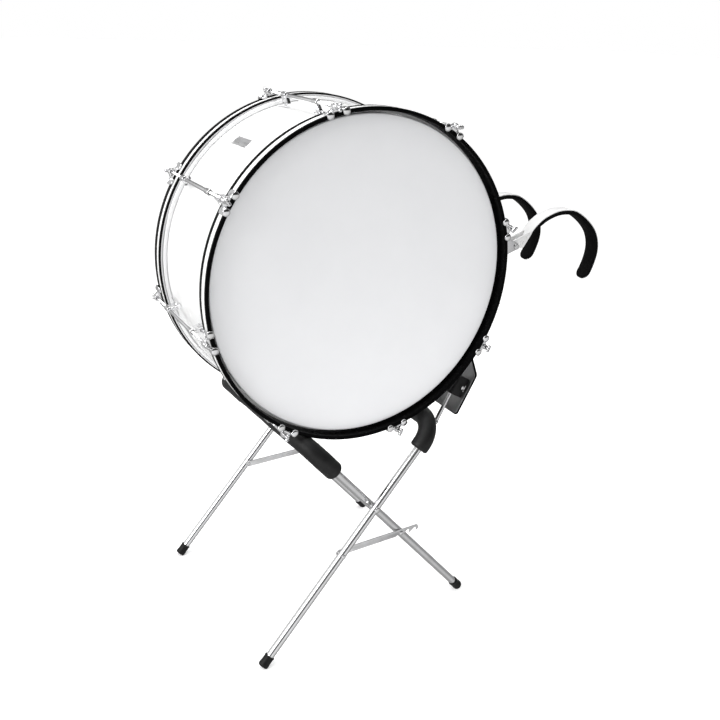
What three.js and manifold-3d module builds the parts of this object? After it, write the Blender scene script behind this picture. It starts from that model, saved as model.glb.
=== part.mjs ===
// Marching bass drum on a folding X stand, with its shoulder carrier attached.
// Millimetres, +Z up. The drum's front head faces -Y and the carrier is on its +X side.
// The origin is on the floor, under the middle of the whole object.
import * as THREE from "three";
import { mergeVertices } from "three/addons/utils/BufferGeometryUtils.js";
import Module from "manifold-3d";

const wasm = await Module();
wasm.setup();

// ---- placing and shared dimensions ----------------------------------------------------
const ORIGIN_X = 153.7; // middle of the whole object, measured from the drum's axis
const ORIGIN_Y = 220.11; // and from the front edge of the front hoop
const AXIS_Z = 877; // drum axis above the floor
const DRUM_LEN = 348; // over both counter hoops
const HOOP_RO = 371;
const HOOP_W = 38;
const ROUND_SEGMENTS = 60; // facets of the drum's round parts

// ---- materials ------------------------------------------------------------------------
const standard = (settings) => new THREE.MeshStandardMaterial(settings);
const WHITE_SHELL = standard({ color: 0xf6f6f5, roughness: 0.18, metalness: 0 });
const BLACK_HOOP = standard({ color: 0x0b0b0c, roughness: 0.22, metalness: 0 });
const HEAD_FILM = standard({ color: 0xe6e7ea, roughness: 0.5, metalness: 0 });
const CHROME = standard({ color: 0xdadce0, roughness: 0.12, metalness: 1 });
const GREY_METAL = standard({ color: 0xb4b5b8, roughness: 0.35, metalness: 1 });
const FOAM = standard({ color: 0x2a2a2c, roughness: 0.9, metalness: 0 });
const RUBBER = standard({ color: 0x101011, roughness: 0.75, metalness: 0 });
const WHITE_BAND = standard({ color: 0xe9e9ea, roughness: 0.3, metalness: 0.2 });
const BLACK_STEEL = standard({ color: 0x121213, roughness: 0.4, metalness: 0.3 });

// ---- solid helpers --------------------------------------------------------------------
const WELD = 1e-3; // vertices closer than this become one
const rad = THREE.MathUtils.degToRad;

// A closed geometry as a solid, whichever way its faces were wound.
function solid(geometry) {
  for (const name of Object.keys(geometry.attributes)) {
    if (name !== "position") geometry.deleteAttribute(name);
  }
  const welded = mergeVertices(geometry, WELD);
  const corners = welded.index.array;
  const triangles = [];
  for (let i = 0; i < corners.length; i += 3) {
    const [a, b, c] = corners.slice(i, i + 3);
    if (a !== b && b !== c && a !== c) triangles.push([a, b, c]);
  }
  const build = (faces) =>
    new wasm.Manifold(
      new wasm.Mesh({
        numProp: 3,
        vertProperties: new Float32Array(welded.attributes.position.array),
        triVerts: new Uint32Array(faces.flat()),
      }),
    );
  const built = build(triangles);
  if (built.volume() >= 0) return built;
  return build(triangles.map(([a, b, c]) => [a, c, b]));
}

const moved = (body, matrix) => body.transform(matrix.elements);
const union = (...bodies) => bodies.reduce((sum, body) => sum.add(body));
const minus = (body, ...cutters) => cutters.reduce((rest, cutter) => rest.subtract(cutter), body);

// A solid as a named mesh.
function piece(name, body, material) {
  const { vertProperties, triVerts } = body.getMesh();
  const geometry = new THREE.BufferGeometry();
  geometry.setAttribute("position", new THREE.BufferAttribute(vertProperties, 3));
  geometry.setIndex(new THREE.BufferAttribute(triVerts, 1));
  geometry.computeVertexNormals();
  const mesh = new THREE.Mesh(geometry, material);
  mesh.name = name;
  return mesh;
}

// A box over three ranges. The ends of a range may come in either order.
function box(...ranges) {
  const size = ranges.map(([from, to]) => Math.abs(to - from));
  const middle = ranges.map(([from, to]) => (from + to) / 2);
  return solid(new THREE.BoxGeometry(...size)).translate(middle);
}

// A round bar between two points.
function bar(start, end, radius, segments = 12) {
  const from = new THREE.Vector3(...start);
  const to = new THREE.Vector3(...end);
  const direction = to.clone().sub(from);
  const length = direction.length();
  const turn = new THREE.Quaternion().setFromUnitVectors(
    new THREE.Vector3(0, 1, 0),
    direction.normalize(),
  );
  const middle = from.clone().add(to).multiplyScalar(0.5);
  return moved(
    solid(new THREE.CylinderGeometry(radius, radius, length, segments)),
    new THREE.Matrix4().compose(middle, turn, new THREE.Vector3(1, 1, 1)),
  );
}

// A body of revolution about Y from a profile of [radius, y] points.
// A profile that leaves the axis is closed back to its first point.
function turned(profile) {
  const points = profile.map(([radius, y]) => new THREE.Vector2(radius, y));
  if (profile[0][0] > 0 || profile.at(-1)[0] > 0) points.push(points[0].clone());
  return solid(new THREE.LatheGeometry(points, ROUND_SEGMENTS));
}

// A flat shape from an outline of [a, b] points, with an optional hole.
function flatShape(outline, hole) {
  const vectors = (points) => points.map(([a, b]) => new THREE.Vector2(a, b));
  const shape = new THREE.Shape(vectors(outline));
  if (hole) shape.holes.push(new THREE.Path(vectors(hole)));
  return shape;
}

// Planes for plate(): where the outline's two axes and its depth go.
const XZ = [[1, 0, 0], [0, 0, 1], [0, 1, 0]];
const YZ = [[0, 1, 0], [0, 0, 1], [1, 0, 0]];
const XY = [[1, 0, 0], [0, 1, 0], [0, 0, 1]];

// A flat outline in a plane, starting at `from` on the plane's normal and `depth` thick.
function plate(plane, outline, from, depth, hole) {
  const [across, up, normal] = plane.map((axis) => new THREE.Vector3(...axis));
  const geometry = new THREE.ExtrudeGeometry(flatShape(outline, hole), {
    depth,
    bevelEnabled: false,
  });
  const placing = new THREE.Matrix4().makeBasis(across, up, normal);
  placing.setPosition(normal.clone().multiplyScalar(from));
  geometry.applyMatrix4(placing);
  return solid(geometry);
}

// A circle's points, turned half a segment so that it starts on a flat.
const circle = (centreA, centreB, radius, segments = 8) =>
  Array.from({ length: segments }, (_, i) => {
    const angle = ((i + 0.5) / segments) * Math.PI * 2;
    return [centreA + radius * Math.cos(angle), centreB + radius * Math.sin(angle)];
  });

// A curve through given stations only, so a sweep spends its rings where the path bends.
class Stations extends THREE.Curve {
  constructor(points) {
    super();
    this.points = points;
    this.tangents = points.map((point, i) => {
      const tangent = new THREE.Vector3();
      if (i > 0) tangent.add(point.clone().sub(points[i - 1]).normalize());
      if (i < points.length - 1) tangent.add(points[i + 1].clone().sub(point).normalize());
      return tangent.normalize();
    });
  }
  nearest(list, fraction) {
    return list[Math.round(fraction * (list.length - 1))].clone();
  }
  getPointAt(fraction) {
    return this.nearest(this.points, fraction);
  }
  getTangentAt(fraction) {
    return this.nearest(this.tangents, fraction);
  }
}

const sweep = (points, outline, hole) =>
  solid(
    new THREE.ExtrudeGeometry(flatShape(outline, hole), {
      steps: points.length - 1,
      bevelEnabled: false,
      extrudePath: new Stations(points),
    }),
  );

// ---- drum -----------------------------------------------------------------------------
const object = new THREE.Group();
object.position.set(-ORIGIN_X, -ORIGIN_Y, 0);
const drum = new THREE.Group();
drum.position.set(0, 0, AXIS_Z);
object.add(drum);

// Each end of the drum, with the y of a place that far in from the hoop's outer edge.
const fromFront = (y) => y;
const fromBack = (y) => DRUM_LEN - y;
const DRUM_ENDS = [["front", fromFront], ["back", fromBack]];

// Shell
const SHELL_R = 355.4; // 28 inch shell
const SHELL_RI = SHELL_R - 6.9;
const BEARING_R = SHELL_R - 5.6; // ridge of the bearing edge
const BEARING_Y = 21.8; // ridge behind the hoop's front edge
const BEARING_OUTER_Y = BEARING_Y + 4.8; // where the bevels on each side of it end
const BEARING_INNER_Y = BEARING_Y + 1.4;

drum.add(
  piece(
    "shell",
    turned([
      [SHELL_R, fromFront(BEARING_OUTER_Y)],
      [SHELL_R, fromBack(BEARING_OUTER_Y)],
      [BEARING_R, fromBack(BEARING_Y)],
      [SHELL_RI, fromBack(BEARING_INNER_Y)],
      [SHELL_RI, fromFront(BEARING_INNER_Y)],
      [BEARING_R, fromFront(BEARING_Y)],
    ]),
    WHITE_SHELL,
  ),
);

// Heads, flesh hoops and counter hoops, drawn for the front end
const HOOP_RI = 362.6;
const FLESH_RI = 356.9;
const FLESH_RO = 364.6;
const FLESH_Y0 = 38.3;
const FLESH_Y1 = 47.6;
const HEAD_Y = 20.7; // outer face of the film
const HEAD_T = 0.7;
const HEAD_RO = 356.5;
const HEAD_FLAT_R = 350.6; // where the film starts to slope back to its collar
const COLLAR_Y0 = HEAD_Y + 5;
const COLLAR_Y1 = FLESH_Y1 - 1.5;
const SLOPE_SHIFT = 0.3; // shift of both inner corners of the slope

const ringProfile = (innerR, outerR, y0, y1) => [
  [innerR, y0],
  [outerR, y0],
  [outerR, y1],
  [innerR, y1],
];
const END_PARTS = [
  {
    name: "head",
    material: HEAD_FILM,
    profile: [
      [0, HEAD_Y],
      [HEAD_FLAT_R, HEAD_Y],
      [HEAD_RO, COLLAR_Y0],
      [HEAD_RO, COLLAR_Y1],
      [HEAD_RO - HEAD_T, COLLAR_Y1],
      [HEAD_RO - HEAD_T, COLLAR_Y0 + SLOPE_SHIFT],
      [HEAD_FLAT_R - SLOPE_SHIFT, HEAD_Y + HEAD_T],
      [0, HEAD_Y + HEAD_T],
    ],
  },
  {
    name: "flesh_hoop",
    material: GREY_METAL,
    profile: ringProfile(FLESH_RI, FLESH_RO, FLESH_Y0, FLESH_Y1),
  },
  { name: "hoop", material: BLACK_HOOP, profile: ringProfile(HOOP_RI, HOOP_RO, 0, HOOP_W) },
];
for (const { name, material, profile } of END_PARTS) {
  for (const [end, place] of DRUM_ENDS) {
    const placed = profile.map(([radius, y]) => [radius, place(y)]);
    drum.add(piece(`${end}_${name}`, turned(placed), material));
  }
}

// ---- tension hardware -----------------------------------------------------------------
// Local axes of each line: x along the hoop, y along the drum, z out from the axis.
const LINES = 8;
const FIRST_LINE = 103.7; // degrees from +X towards +Z
const ROD_R = 3;
const ROD_AXIS_R = 382; // radius of the ring of tension rods
const HOLE_R = 3.65;
const HANDLE_LEN = 19;
const HANDLE_R = 3.5;
const HANDLE_OUT = 13.5; // handle's middle beyond the hoop
const HANDLE_TURN = [12, 62, -28, 84, 38, -14, 52, 24]; // degrees about each rod
const COLLAR_R = 6;
const COLLAR_Y = [-3.4, 1.6]; // rod collar, from the hoop's outer edge
const CLAW_HALF = 27.5; // half the width of a claw
const FINGER_IN = 9.5; // inner side of each finger
const CLAW_TIP_R = 362.9;
const CLAW_TOP_R = HOOP_RO + 6;
const BRIDGE_R = HOOP_RO + 0.9; // inner face of the bridge
const BRIDGE_Y = 2;
const BRIDGE_DEPTH = 9;
const LUG_TUBE_R = 4.9;
const LUG_FROM = 84; // tube's front end
const LUG_FOOT0 = 62;
const LUG_FOOT1 = 108;
const LUG_SEAT_R = SHELL_R + 0.5;
const LUG_BASE_T = 6;
const LUG_WEB_T = 10;

// One claw at the front: two fingers over the hoop and a bridge that takes the rod.
function clawSolid() {
  // [y, z]
  const finger = [
    [-5.2, CLAW_TIP_R],
    [-0.4, CLAW_TIP_R],
    [-0.4, HOOP_RO + 0.5],
    [22, HOOP_RO + 0.5],
    [22, HOOP_RO + 3.5],
    [10, CLAW_TOP_R],
    [-1.5, CLAW_TOP_R],
    [-5.2, HOOP_RO + 2.6],
  ];
  // [x, z]
  const bridge = [
    [-CLAW_HALF + 1, BRIDGE_R],
    [CLAW_HALF - 1, BRIDGE_R],
    [CLAW_HALF - 1, BRIDGE_R + 3.6],
    [15, BRIDGE_R + 6],
    [7.5, ROD_AXIS_R + 6.8],
    [-7.5, ROD_AXIS_R + 6.8],
    [-15, BRIDGE_R + 6],
    [-CLAW_HALF + 1, BRIDGE_R + 3.6],
  ];
  const fingerW = CLAW_HALF - FINGER_IN;
  return union(
    plate(YZ, finger, FINGER_IN, fingerW),
    plate(YZ, finger, -CLAW_HALF, fingerW),
    plate(XZ, bridge, BRIDGE_Y, BRIDGE_DEPTH, circle(0, ROD_AXIS_R, HOLE_R)),
  );
}

// A lug: a straight tube on two forked feet that stand on the shell.
function lugSolid() {
  const lugFoot = (place) => {
    // [x, y]
    const base = [
      [-13, place(LUG_FOOT0)],
      [-6.5, place(LUG_FOOT0)],
      [-3.6, place(LUG_FOOT0 + 18)],
      [3.6, place(LUG_FOOT0 + 18)],
      [6.5, place(LUG_FOOT0)],
      [13, place(LUG_FOOT0)],
      [6, place(LUG_FOOT1)],
      [-6, place(LUG_FOOT1)],
    ];
    // [y, z]
    const web = [
      [place(LUG_FOOT0 + 14), LUG_SEAT_R + 2],
      [place(LUG_FOOT1 - 2), LUG_SEAT_R + 2],
      [place(LUG_FOOT1 + 6), ROD_AXIS_R + 2],
      [place(LUG_FROM), ROD_AXIS_R + 2],
    ];
    return union(
      plate(XY, base, LUG_SEAT_R, LUG_BASE_T),
      plate(YZ, web, -LUG_WEB_T / 2, LUG_WEB_T),
    );
  };
  const alongRod = (inset, radius) =>
    bar([0, fromFront(inset), ROD_AXIS_R], [0, fromBack(inset), ROD_AXIS_R], radius, 8);
  return minus(
    union(lugFoot(fromFront), lugFoot(fromBack), alongRod(LUG_FROM, LUG_TUBE_R)),
    alongRod(0, HOLE_R),
  );
}

// A tension rod: one straight rod with a collar and a T handle outside each hoop.
function rodSolid(turn) {
  const rodEnd = (place, angle) => {
    const y = place(-HANDLE_OUT);
    const x = (HANDLE_LEN / 2) * Math.sin(rad(angle));
    const z = (HANDLE_LEN / 2) * Math.cos(rad(angle));
    const [collarStart, collarEnd] = COLLAR_Y.map((at) => [0, place(at), ROD_AXIS_R]);
    return union(
      bar([-x, y, ROD_AXIS_R - z], [x, y, ROD_AXIS_R + z], HANDLE_R, 6),
      bar(collarStart, collarEnd, COLLAR_R, 6),
    );
  };
  return union(
    bar([0, fromFront(-HANDLE_OUT), ROD_AXIS_R], [0, fromBack(-HANDLE_OUT), ROD_AXIS_R], ROD_R, 8),
    rodEnd(fromFront, turn),
    rodEnd(fromBack, -turn),
  );
}

const frontClaw = clawSolid();
const backClaw = frontClaw.mirror([0, 1, 0]).translate([0, DRUM_LEN, 0]);
const lug = lugSolid();
HANDLE_TURN.forEach((turn, i) => {
  const line = new THREE.Group();
  line.rotation.y = Math.PI / 2 - rad(FIRST_LINE - (i * 360) / LINES);
  line.add(piece(`front_claw_${i + 1}`, frontClaw, CHROME));
  line.add(piece(`back_claw_${i + 1}`, backClaw, CHROME));
  line.add(piece(`lug_${i + 1}`, lug, CHROME));
  line.add(piece(`tension_rod_${i + 1}`, rodSolid(turn), CHROME));
  drum.add(line);
});

// ---- stand ----------------------------------------------------------------------------
// Local axes: origin midway between the pivots, y along the pivot line, z up.
const TUBE_R = 9.5;
const TUBE_WALL = 1.5;
const LEAN = 41.5; // each frame's lean from the vertical, degrees
const PIVOT_Z = 334;
const LEG_DOWN = 437; // pivot to the tube's lower end
const LEG_UP = 245; // pivot to the middle of the top bar
const OUTER_W = 520; // outer frame, tube middle to tube middle
const INNER_W = 472;
const OUTER_Y = OUTER_W / 2;
const INNER_Y = INNER_W / 2;
const STRUT_Y = (OUTER_Y + INNER_Y) / 2; // middle plane of each strut
const STAND_Y = 220; // stand's middle, from the front hoop's front edge
const STAND_TURN = 3.3; // the stand sits slightly askew under the drum, degrees
const BEND_R = 60;
const PAD_R = 22.7;
const PAD_BORE = 11;
const OUTER_PAD_END = 172; // where each foam sleeve ends on its legs, from the pivot
const INNER_PAD_END = 150;
const DENT_R = HOOP_RO + 0.35; // the foam gives way where a hoop rests on it
const DENT_SIDE = 0.4; // and this far on each side of the hoop
const FOOT_R = 12.2;
const FOOT_BORE = 10.2;
const FOOT_FROM = 411;
const FOOT_TO = 440.5;
const PIN_R = 4.2;
const PIN_HOLE_R = 4.8;
const PIN_HEAD_R = 7;
const STUD_R = 4;
const STUD_HEAD_R = 5.6;
const STRUT_AT = 132; // rivet and stud, each this far below the pivot along its leg
const STRUT_T = 2.4;
const STRUT_H = 16;
const STRUT_REACH = 224;
const STRUT_RISE = 2.5; // rise of the strut's middle line over its reach
const NOTCHES = 3;
const NOTCH_PITCH = 20;

const stand = new THREE.Group();
stand.position.set(0, STAND_Y, PIVOT_Z);
stand.rotation.z = rad(STAND_TURN);
object.add(stand);

const SIDES = [["front", -1], ["back", 1]]; // name and sign of y
const leaning = (degrees) => new THREE.Matrix4().makeRotationY(rad(degrees));

// Points of an upturned U in the y-z plane, from one lower end to the other.
function uPath(width, bottom, arcSteps) {
  const frontHalf = [new THREE.Vector3(0, -width / 2, bottom)];
  for (let i = 0; i <= arcSteps; i++) {
    const angle = (i / arcSteps) * (Math.PI / 2);
    const y = -width / 2 + BEND_R - BEND_R * Math.cos(angle);
    const z = LEG_UP - BEND_R + BEND_R * Math.sin(angle);
    frontHalf.push(new THREE.Vector3(0, y, z));
  }
  const backHalf = frontHalf.map(({ y, z }) => new THREE.Vector3(0, -y, z)).reverse();
  return [...frontHalf, ...backHalf];
}

const frameTube = (width) =>
  sweep(
    uPath(width, -LEG_DOWN, 4),
    circle(0, 0, TUBE_R, 10),
    circle(0, 0, TUBE_R - TUBE_WALL, 10),
  );

// A bar along y at one height, from y0 to y1 on the given side.
const crossPin = (side, y0, y1, z, radius, segments) =>
  bar([0, side * y0, z], [0, side * y1, z], radius, segments);

// Outer frame: holes for the pivot pins, and the short pins that the struts turn on.
function outerFrame() {
  const holes = SIDES.map(([, side]) =>
    crossPin(side, OUTER_Y - 15, OUTER_Y + 15, 0, PIN_HOLE_R));
  const rivets = SIDES.map(([, side]) =>
    crossPin(side, OUTER_Y, STRUT_Y - STRUT_T / 2 - 0.3, -STRUT_AT, STUD_R, 10));
  return union(minus(frameTube(OUTER_W), ...holes), ...rivets);
}

// Inner frame: headed pivot pins through the outer legs, and headed studs for the notches.
function innerFrame() {
  const outside = OUTER_Y + TUBE_R; // outer leg's outer face
  const pins = SIDES.map(([, side]) =>
    union(
      crossPin(side, INNER_Y - TUBE_R + 1, outside + 3.4, 0, PIN_R),
      crossPin(side, outside + 0.8, outside + 3.4, 0, PIN_HEAD_R),
      crossPin(side, INNER_Y + TUBE_R - 1, STRUT_Y + 2.8, -STRUT_AT, STUD_R, 10),
      crossPin(side, STRUT_Y + 2, STRUT_Y + 4.4, -STRUT_AT, STUD_HEAD_R, 10),
    ),
  );
  return union(frameTube(INNER_W), ...pins);
}

// The drum's own axes, seen from a frame of the stand.
const drumFrom = (lean) =>
  new THREE.Matrix4()
    .makeTranslation(0, STAND_Y, PIVOT_Z)
    .multiply(new THREE.Matrix4().makeRotationZ(rad(STAND_TURN)))
    .multiply(leaning(lean))
    .invert()
    .multiply(new THREE.Matrix4().makeTranslation(0, 0, AXIS_Z));

// A foam sleeve round the top of a frame, dented by both hoops.
function sleeve(width, end, lean) {
  const foam = sweep(
    uPath(width, end, 5),
    circle(0, 0, PAD_R, 12),
    circle(0, 0, PAD_BORE, 8),
  );
  const dent = (y0, y1) =>
    moved(turned(ringProfile(0, DENT_R, y0 - DENT_SIDE, y1 + DENT_SIDE)), drumFrom(lean));
  return minus(foam, dent(0, HOOP_W), dent(DRUM_LEN - HOOP_W, DRUM_LEN));
}

// A rubber foot, cut level with the floor.
function rubberFoot(y, lean) {
  const cup = minus(
    bar([0, y, -FOOT_FROM], [0, y, -FOOT_TO], FOOT_R, 16),
    bar([0, y, -FOOT_FROM + 5], [0, y, -LEG_DOWN - 0.4], FOOT_BORE, 16),
  );
  const belowFloor = box([-500, 500], [-500, 500], [-PIVOT_Z - 60, -PIVOT_Z]);
  return minus(moved(cup, leaning(lean)), belowFloor);
}

const FRAMES = [
  { name: "outer", body: outerFrame(), width: OUTER_W, padEnd: OUTER_PAD_END, lean: LEAN },
  { name: "inner", body: innerFrame(), width: INNER_W, padEnd: INNER_PAD_END, lean: -LEAN },
];
for (const { name, body, width, padEnd, lean } of FRAMES) {
  const frame = new THREE.Group();
  frame.rotation.y = rad(lean);
  frame.add(piece(`${name}_frame`, body, CHROME));
  frame.add(piece(`${name}_frame_pad`, sleeve(width, padEnd, lean), FOAM));
  stand.add(frame);
}
for (const { name, width, lean } of FRAMES) {
  for (const [sideName, side] of SIDES) {
    const foot = rubberFoot((side * width) / 2, lean);
    stand.add(piece(`${name}_${sideName}_foot`, foot, RUBBER));
  }
}

// A notched strut, in x and z from the rivet. The stud rests in the first notch.
function strutSolid() {
  const studX = 2 * STRUT_AT * Math.sin(rad(LEAN));
  const half = STRUT_H / 2;
  const corner = half * Math.cos(rad(45));
  const low = (x) => (x / STRUT_REACH) * STRUT_RISE - half;
  const notchR = STUD_R + 0.7;
  const notches = Array.from({ length: NOTCHES }, (_, i) => {
    const x = studX + i * NOTCH_PITCH;
    return [
      [x - 14.5, low(x - 14.5)],
      [x - 3.4, 3.6],
      [x + 1.5, notchR + 0.3],
      [x + notchR, 2.2],
      [x + notchR, low(x + notchR)],
    ];
  });
  const outline = [
    [-corner, -corner],
    [0, -half],
    ...notches.flat(),
    [STRUT_REACH, STRUT_RISE - half + 3],
    [STRUT_REACH + 2.5, STRUT_RISE],
    [STRUT_REACH, STRUT_RISE + half - 2],
    [STRUT_REACH - 3, STRUT_RISE + half],
    [0, half],
    [-corner, corner],
    [-half, 0],
  ];
  return plate(XZ, outline, -STRUT_T / 2, STRUT_T, circle(0, 0, STUD_R + 0.6, 10));
}

const strut = strutSolid();
for (const [sideName, side] of SIDES) {
  const mesh = piece(`${sideName}_strut`, strut, CHROME);
  mesh.position.set(
    -STRUT_AT * Math.sin(rad(LEAN)),
    side * STRUT_Y,
    -STRUT_AT * Math.cos(rad(LEAN)),
  );
  stand.add(mesh);
}

// ---- carrier frame --------------------------------------------------------------------
// Local axes: x down along the bars, y along the drum, z out from the drum.
const CARRIER_TILT = 118.4; // turn of the carrier's axes about the drum axis, degrees
const BAR_OUT = 404; // distance of the bars' plane from the drum axis
const BAR_R = 5.3;
const BAR_TOP = -90; // lower crossbar, where the two bars start
const BAR_END = 243;
const BAR_Y = [62, DRUM_LEN - 62];
const JOINT_R = 7.2; // ball at each end of a bar
const CROSS_R = 7; // crossbars and spine
const SPINE_Y = DRUM_LEN / 2;
const UPPER_X = 412; // upper crossbar, upright x and z from the drum axis
const UPPER_Z = 37;
const UPPER_Y = [20, 330];
const HANGER_Y = [23, 31]; // from each end of the drum
const HANGER_T = HANGER_Y[1] - HANGER_Y[0];

const carrier = new THREE.Group();
carrier.rotation.y = rad(CARRIER_TILT);
drum.add(carrier);

// A point given upright, from the drum axis, in the carrier's own axes.
function toCarrier(x, z) {
  const cos = Math.cos(rad(CARRIER_TILT));
  const sin = Math.sin(rad(CARRIER_TILT));
  return [x * cos - z * sin, x * sin + z * cos];
}

// A flat hanger from just outside the hoop's radius to the upper crossbar.
function hanger(y0) {
  const polar = (radius, degrees) =>
    toCarrier(radius * Math.cos(rad(degrees)), radius * Math.sin(rad(degrees)));
  const outline = [
    polar(372, 11.4),
    polar(372, 4.4),
    polar(380, 2.6),
    toCarrier(UPPER_X, UPPER_Z - 8),
    toCarrier(UPPER_X + 7, UPPER_Z),
    toCarrier(UPPER_X + 3, UPPER_Z + 8),
    polar(390, 9),
    polar(384, 11.4),
  ];
  return plate(XZ, outline, y0, HANGER_T);
}

function carrierFrame() {
  const [upperX, upperOut] = toCarrier(UPPER_X, UPPER_Z);
  const [upperStart, upperEnd] = UPPER_Y.map((y) => [upperX, y, upperOut]);
  const [lowerStart, lowerEnd] = BAR_Y.map((y) => [BAR_TOP, y, BAR_OUT]);
  const joint = (x, y) =>
    solid(new THREE.SphereGeometry(JOINT_R, 8, 6)).translate([x, y, BAR_OUT]);
  return union(
    bar(upperStart, upperEnd, CROSS_R, 12),
    bar([upperX, SPINE_Y, upperOut], [BAR_TOP, SPINE_Y, BAR_OUT], CROSS_R, 10),
    bar(lowerStart, lowerEnd, CROSS_R, 10),
    ...BAR_Y.map((y) => bar([BAR_TOP, y, BAR_OUT], [BAR_END, y, BAR_OUT], BAR_R, 8)),
    ...[BAR_TOP, BAR_END].flatMap((x) => BAR_Y.map((y) => joint(x, y))),
    hanger(HANGER_Y[0]),
    hanger(DRUM_LEN - HANGER_Y[1]),
  );
}
carrier.add(piece("carrier_frame", carrierFrame(), CHROME));

// ---- shoulder hooks -------------------------------------------------------------------
const HOOK_W = 37; // band and pad
const HOOK_T = 3;
const HOOK_PAD_T = 10.5;
const HOOK_PAD_GAP = 0.5;
const EYE_R = 11.2;
const EYE_W = 26;
// side: sign of y; y: middle of the hook; drop: how far it hangs down, degrees
const HOOKS = [
  { name: "front", side: -1, y: 52.5, drop: 0 },
  { name: "back", side: 1, y: 280, drop: 1.5 },
];
// Middle line of the band, upright [x, z] from the drum axis, from the crossbar outwards.
const HOOK_LINE = [
  [457, 55], [474, 76], [495, 93], [518, 104], [547, 111.5],
  [578, 111.5], [603, 106], [635, 87], [664, 61], [680, 35],
  [686.5, 8], [684, -20], [672, -54], [657, -76],
];
// Web between the eye and the band, in the same axes.
const HOOK_LINK = [
  [UPPER_X - 3, UPPER_Z + 10.5],
  [UPPER_X + 4, UPPER_Z - 10.5],
  [444, 27],
  [469, 64],
  [459, 66],
];

// A line moved to the inside of the hook's bend.
const offsetInward = (line, distance) =>
  line.map(([x, z], i) => {
    const before = line[Math.max(0, i - 1)];
    const after = line[Math.min(line.length - 1, i + 1)];
    const stepX = after[0] - before[0];
    const stepZ = after[1] - before[1];
    const length = Math.hypot(stepX, stepZ);
    return [x + (stepZ / length) * distance, z - (stepX / length) * distance];
  });

// A line hung down by an angle about the upper crossbar.
function hung(line, degrees) {
  const cos = Math.cos(rad(degrees));
  const sin = Math.sin(rad(degrees));
  return line.map(([x, z]) => [
    UPPER_X + (x - UPPER_X) * cos + (z - UPPER_Z) * sin,
    UPPER_Z - (x - UPPER_X) * sin + (z - UPPER_Z) * cos,
  ]);
}

// A flat strip of the hooks' width along an upright line.
const strip = (line, y, thickness) =>
  sweep(
    line.map(([x, z]) => new THREE.Vector3(x, y, z)),
    [
      [-HOOK_W / 2, -thickness / 2],
      [HOOK_W / 2, -thickness / 2],
      [HOOK_W / 2, thickness / 2],
      [-HOOK_W / 2, thickness / 2],
    ],
  );

// An eye that turns on the upper crossbar, with its link to the band.
function hookEye(y, drop) {
  const alongCrossbar = (half, radius) =>
    bar([UPPER_X, y - half, UPPER_Z], [UPPER_X, y + half, UPPER_Z], radius, 14);
  const link = plate(XZ, hung(HOOK_LINK, drop), y - EYE_W / 2, EYE_W);
  return minus(union(alongCrossbar(EYE_W / 2, EYE_R), link), alongCrossbar(20, CROSS_R + 0.7));
}

for (const { name, side, y, drop } of HOOKS) {
  const line = hung(HOOK_LINE, drop);
  const hook = union(strip(line, y, HOOK_T), hookEye(y + side * 3, drop));
  drum.add(piece(`${name}_shoulder_hook`, hook, WHITE_BAND));
  const padOffset = HOOK_T / 2 + HOOK_PAD_GAP + HOOK_PAD_T / 2;
  const pad = strip(offsetInward(line, padOffset).slice(1), y, HOOK_PAD_T);
  drum.add(piece(`${name}_shoulder_pad`, pad, FOAM));
}

// ---- belly plate and clamps -----------------------------------------------------------
const PLATE_OUT = 430;
const PLATE_T = 2.6;
const PLATE_X = [33, 203];
const PLATE_Y = [39, DRUM_LEN - 39];
const CHAMFER_X = 62; // large corners at the plate's upper end
const CHAMFER_Y = 86;
const SMALL_CHAMFER = 8; // corners at its lower end
const BELLY_PAD_T = 8.2;
const BELLY_PAD_OVERHANG = 2.5;
const CLAMP_X = [112, 162];
const CLAMP_HALF_W = 14;
const SCREW_X = (CLAMP_X[0] + CLAMP_X[1]) / 2;
const SCREW_OUT = 418;

// [x, y] outline of the plate, grown by an overhang on every side.
function plateOutline(overhang) {
  const [x0, x1] = [PLATE_X[0] - overhang, PLATE_X[1] + overhang];
  const [y0, y1] = [PLATE_Y[0] - overhang, PLATE_Y[1] + overhang];
  return [
    [x0, y0 + CHAMFER_Y],
    [x0 + CHAMFER_X, y0],
    [x1 - SMALL_CHAMFER, y0],
    [x1, y0 + SMALL_CHAMFER],
    [x1, y1 - SMALL_CHAMFER],
    [x1 - SMALL_CHAMFER, y1],
    [x0 + CHAMFER_X, y1],
    [x0, y1 - CHAMFER_Y],
  ];
}
const bellyPlate = plate(XY, plateOutline(0), PLATE_OUT, PLATE_T);
const bellyPad = plate(
  XY,
  plateOutline(BELLY_PAD_OVERHANG),
  PLATE_OUT + PLATE_T + 0.3,
  BELLY_PAD_T,
);
carrier.add(piece("belly_plate", bellyPlate, GREY_METAL));
carrier.add(piece("belly_pad", bellyPad, FOAM));

// For each bar, a block bored for the bar and a wing screw in its outer side.
SIDES.forEach(([sideName, side], i) => {
  const y = BAR_Y[i];
  const alongScrew = (from, to, radius, segments) =>
    bar([SCREW_X, y + side * from, SCREW_OUT], [SCREW_X, y + side * to, SCREW_OUT], radius, segments);
  const block = minus(
    box(CLAMP_X, [y - CLAMP_HALF_W, y + CLAMP_HALF_W], [BAR_OUT - 9, PLATE_OUT - 0.3]),
    bar([CLAMP_X[0] - 5, y, BAR_OUT], [CLAMP_X[1] + 5, y, BAR_OUT], BAR_R + 0.8, 8),
    alongScrew(0, 20, 3.3, 8),
  );
  const wing = box(
    [SCREW_X - 9, SCREW_X + 9],
    [y + side * 19, y + side * 27],
    [SCREW_OUT - 1.4, SCREW_OUT + 1.4],
  );
  const screw = union(alongScrew(6, 17, 2.6, 8), alongScrew(14.5, 20, 5.5, 12), wing);
  carrier.add(piece(`${sideName}_clamp`, block, BLACK_STEEL));
  carrier.add(piece(`${sideName}_clamp_screw`, screw, CHROME));
});

export default object;
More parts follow.
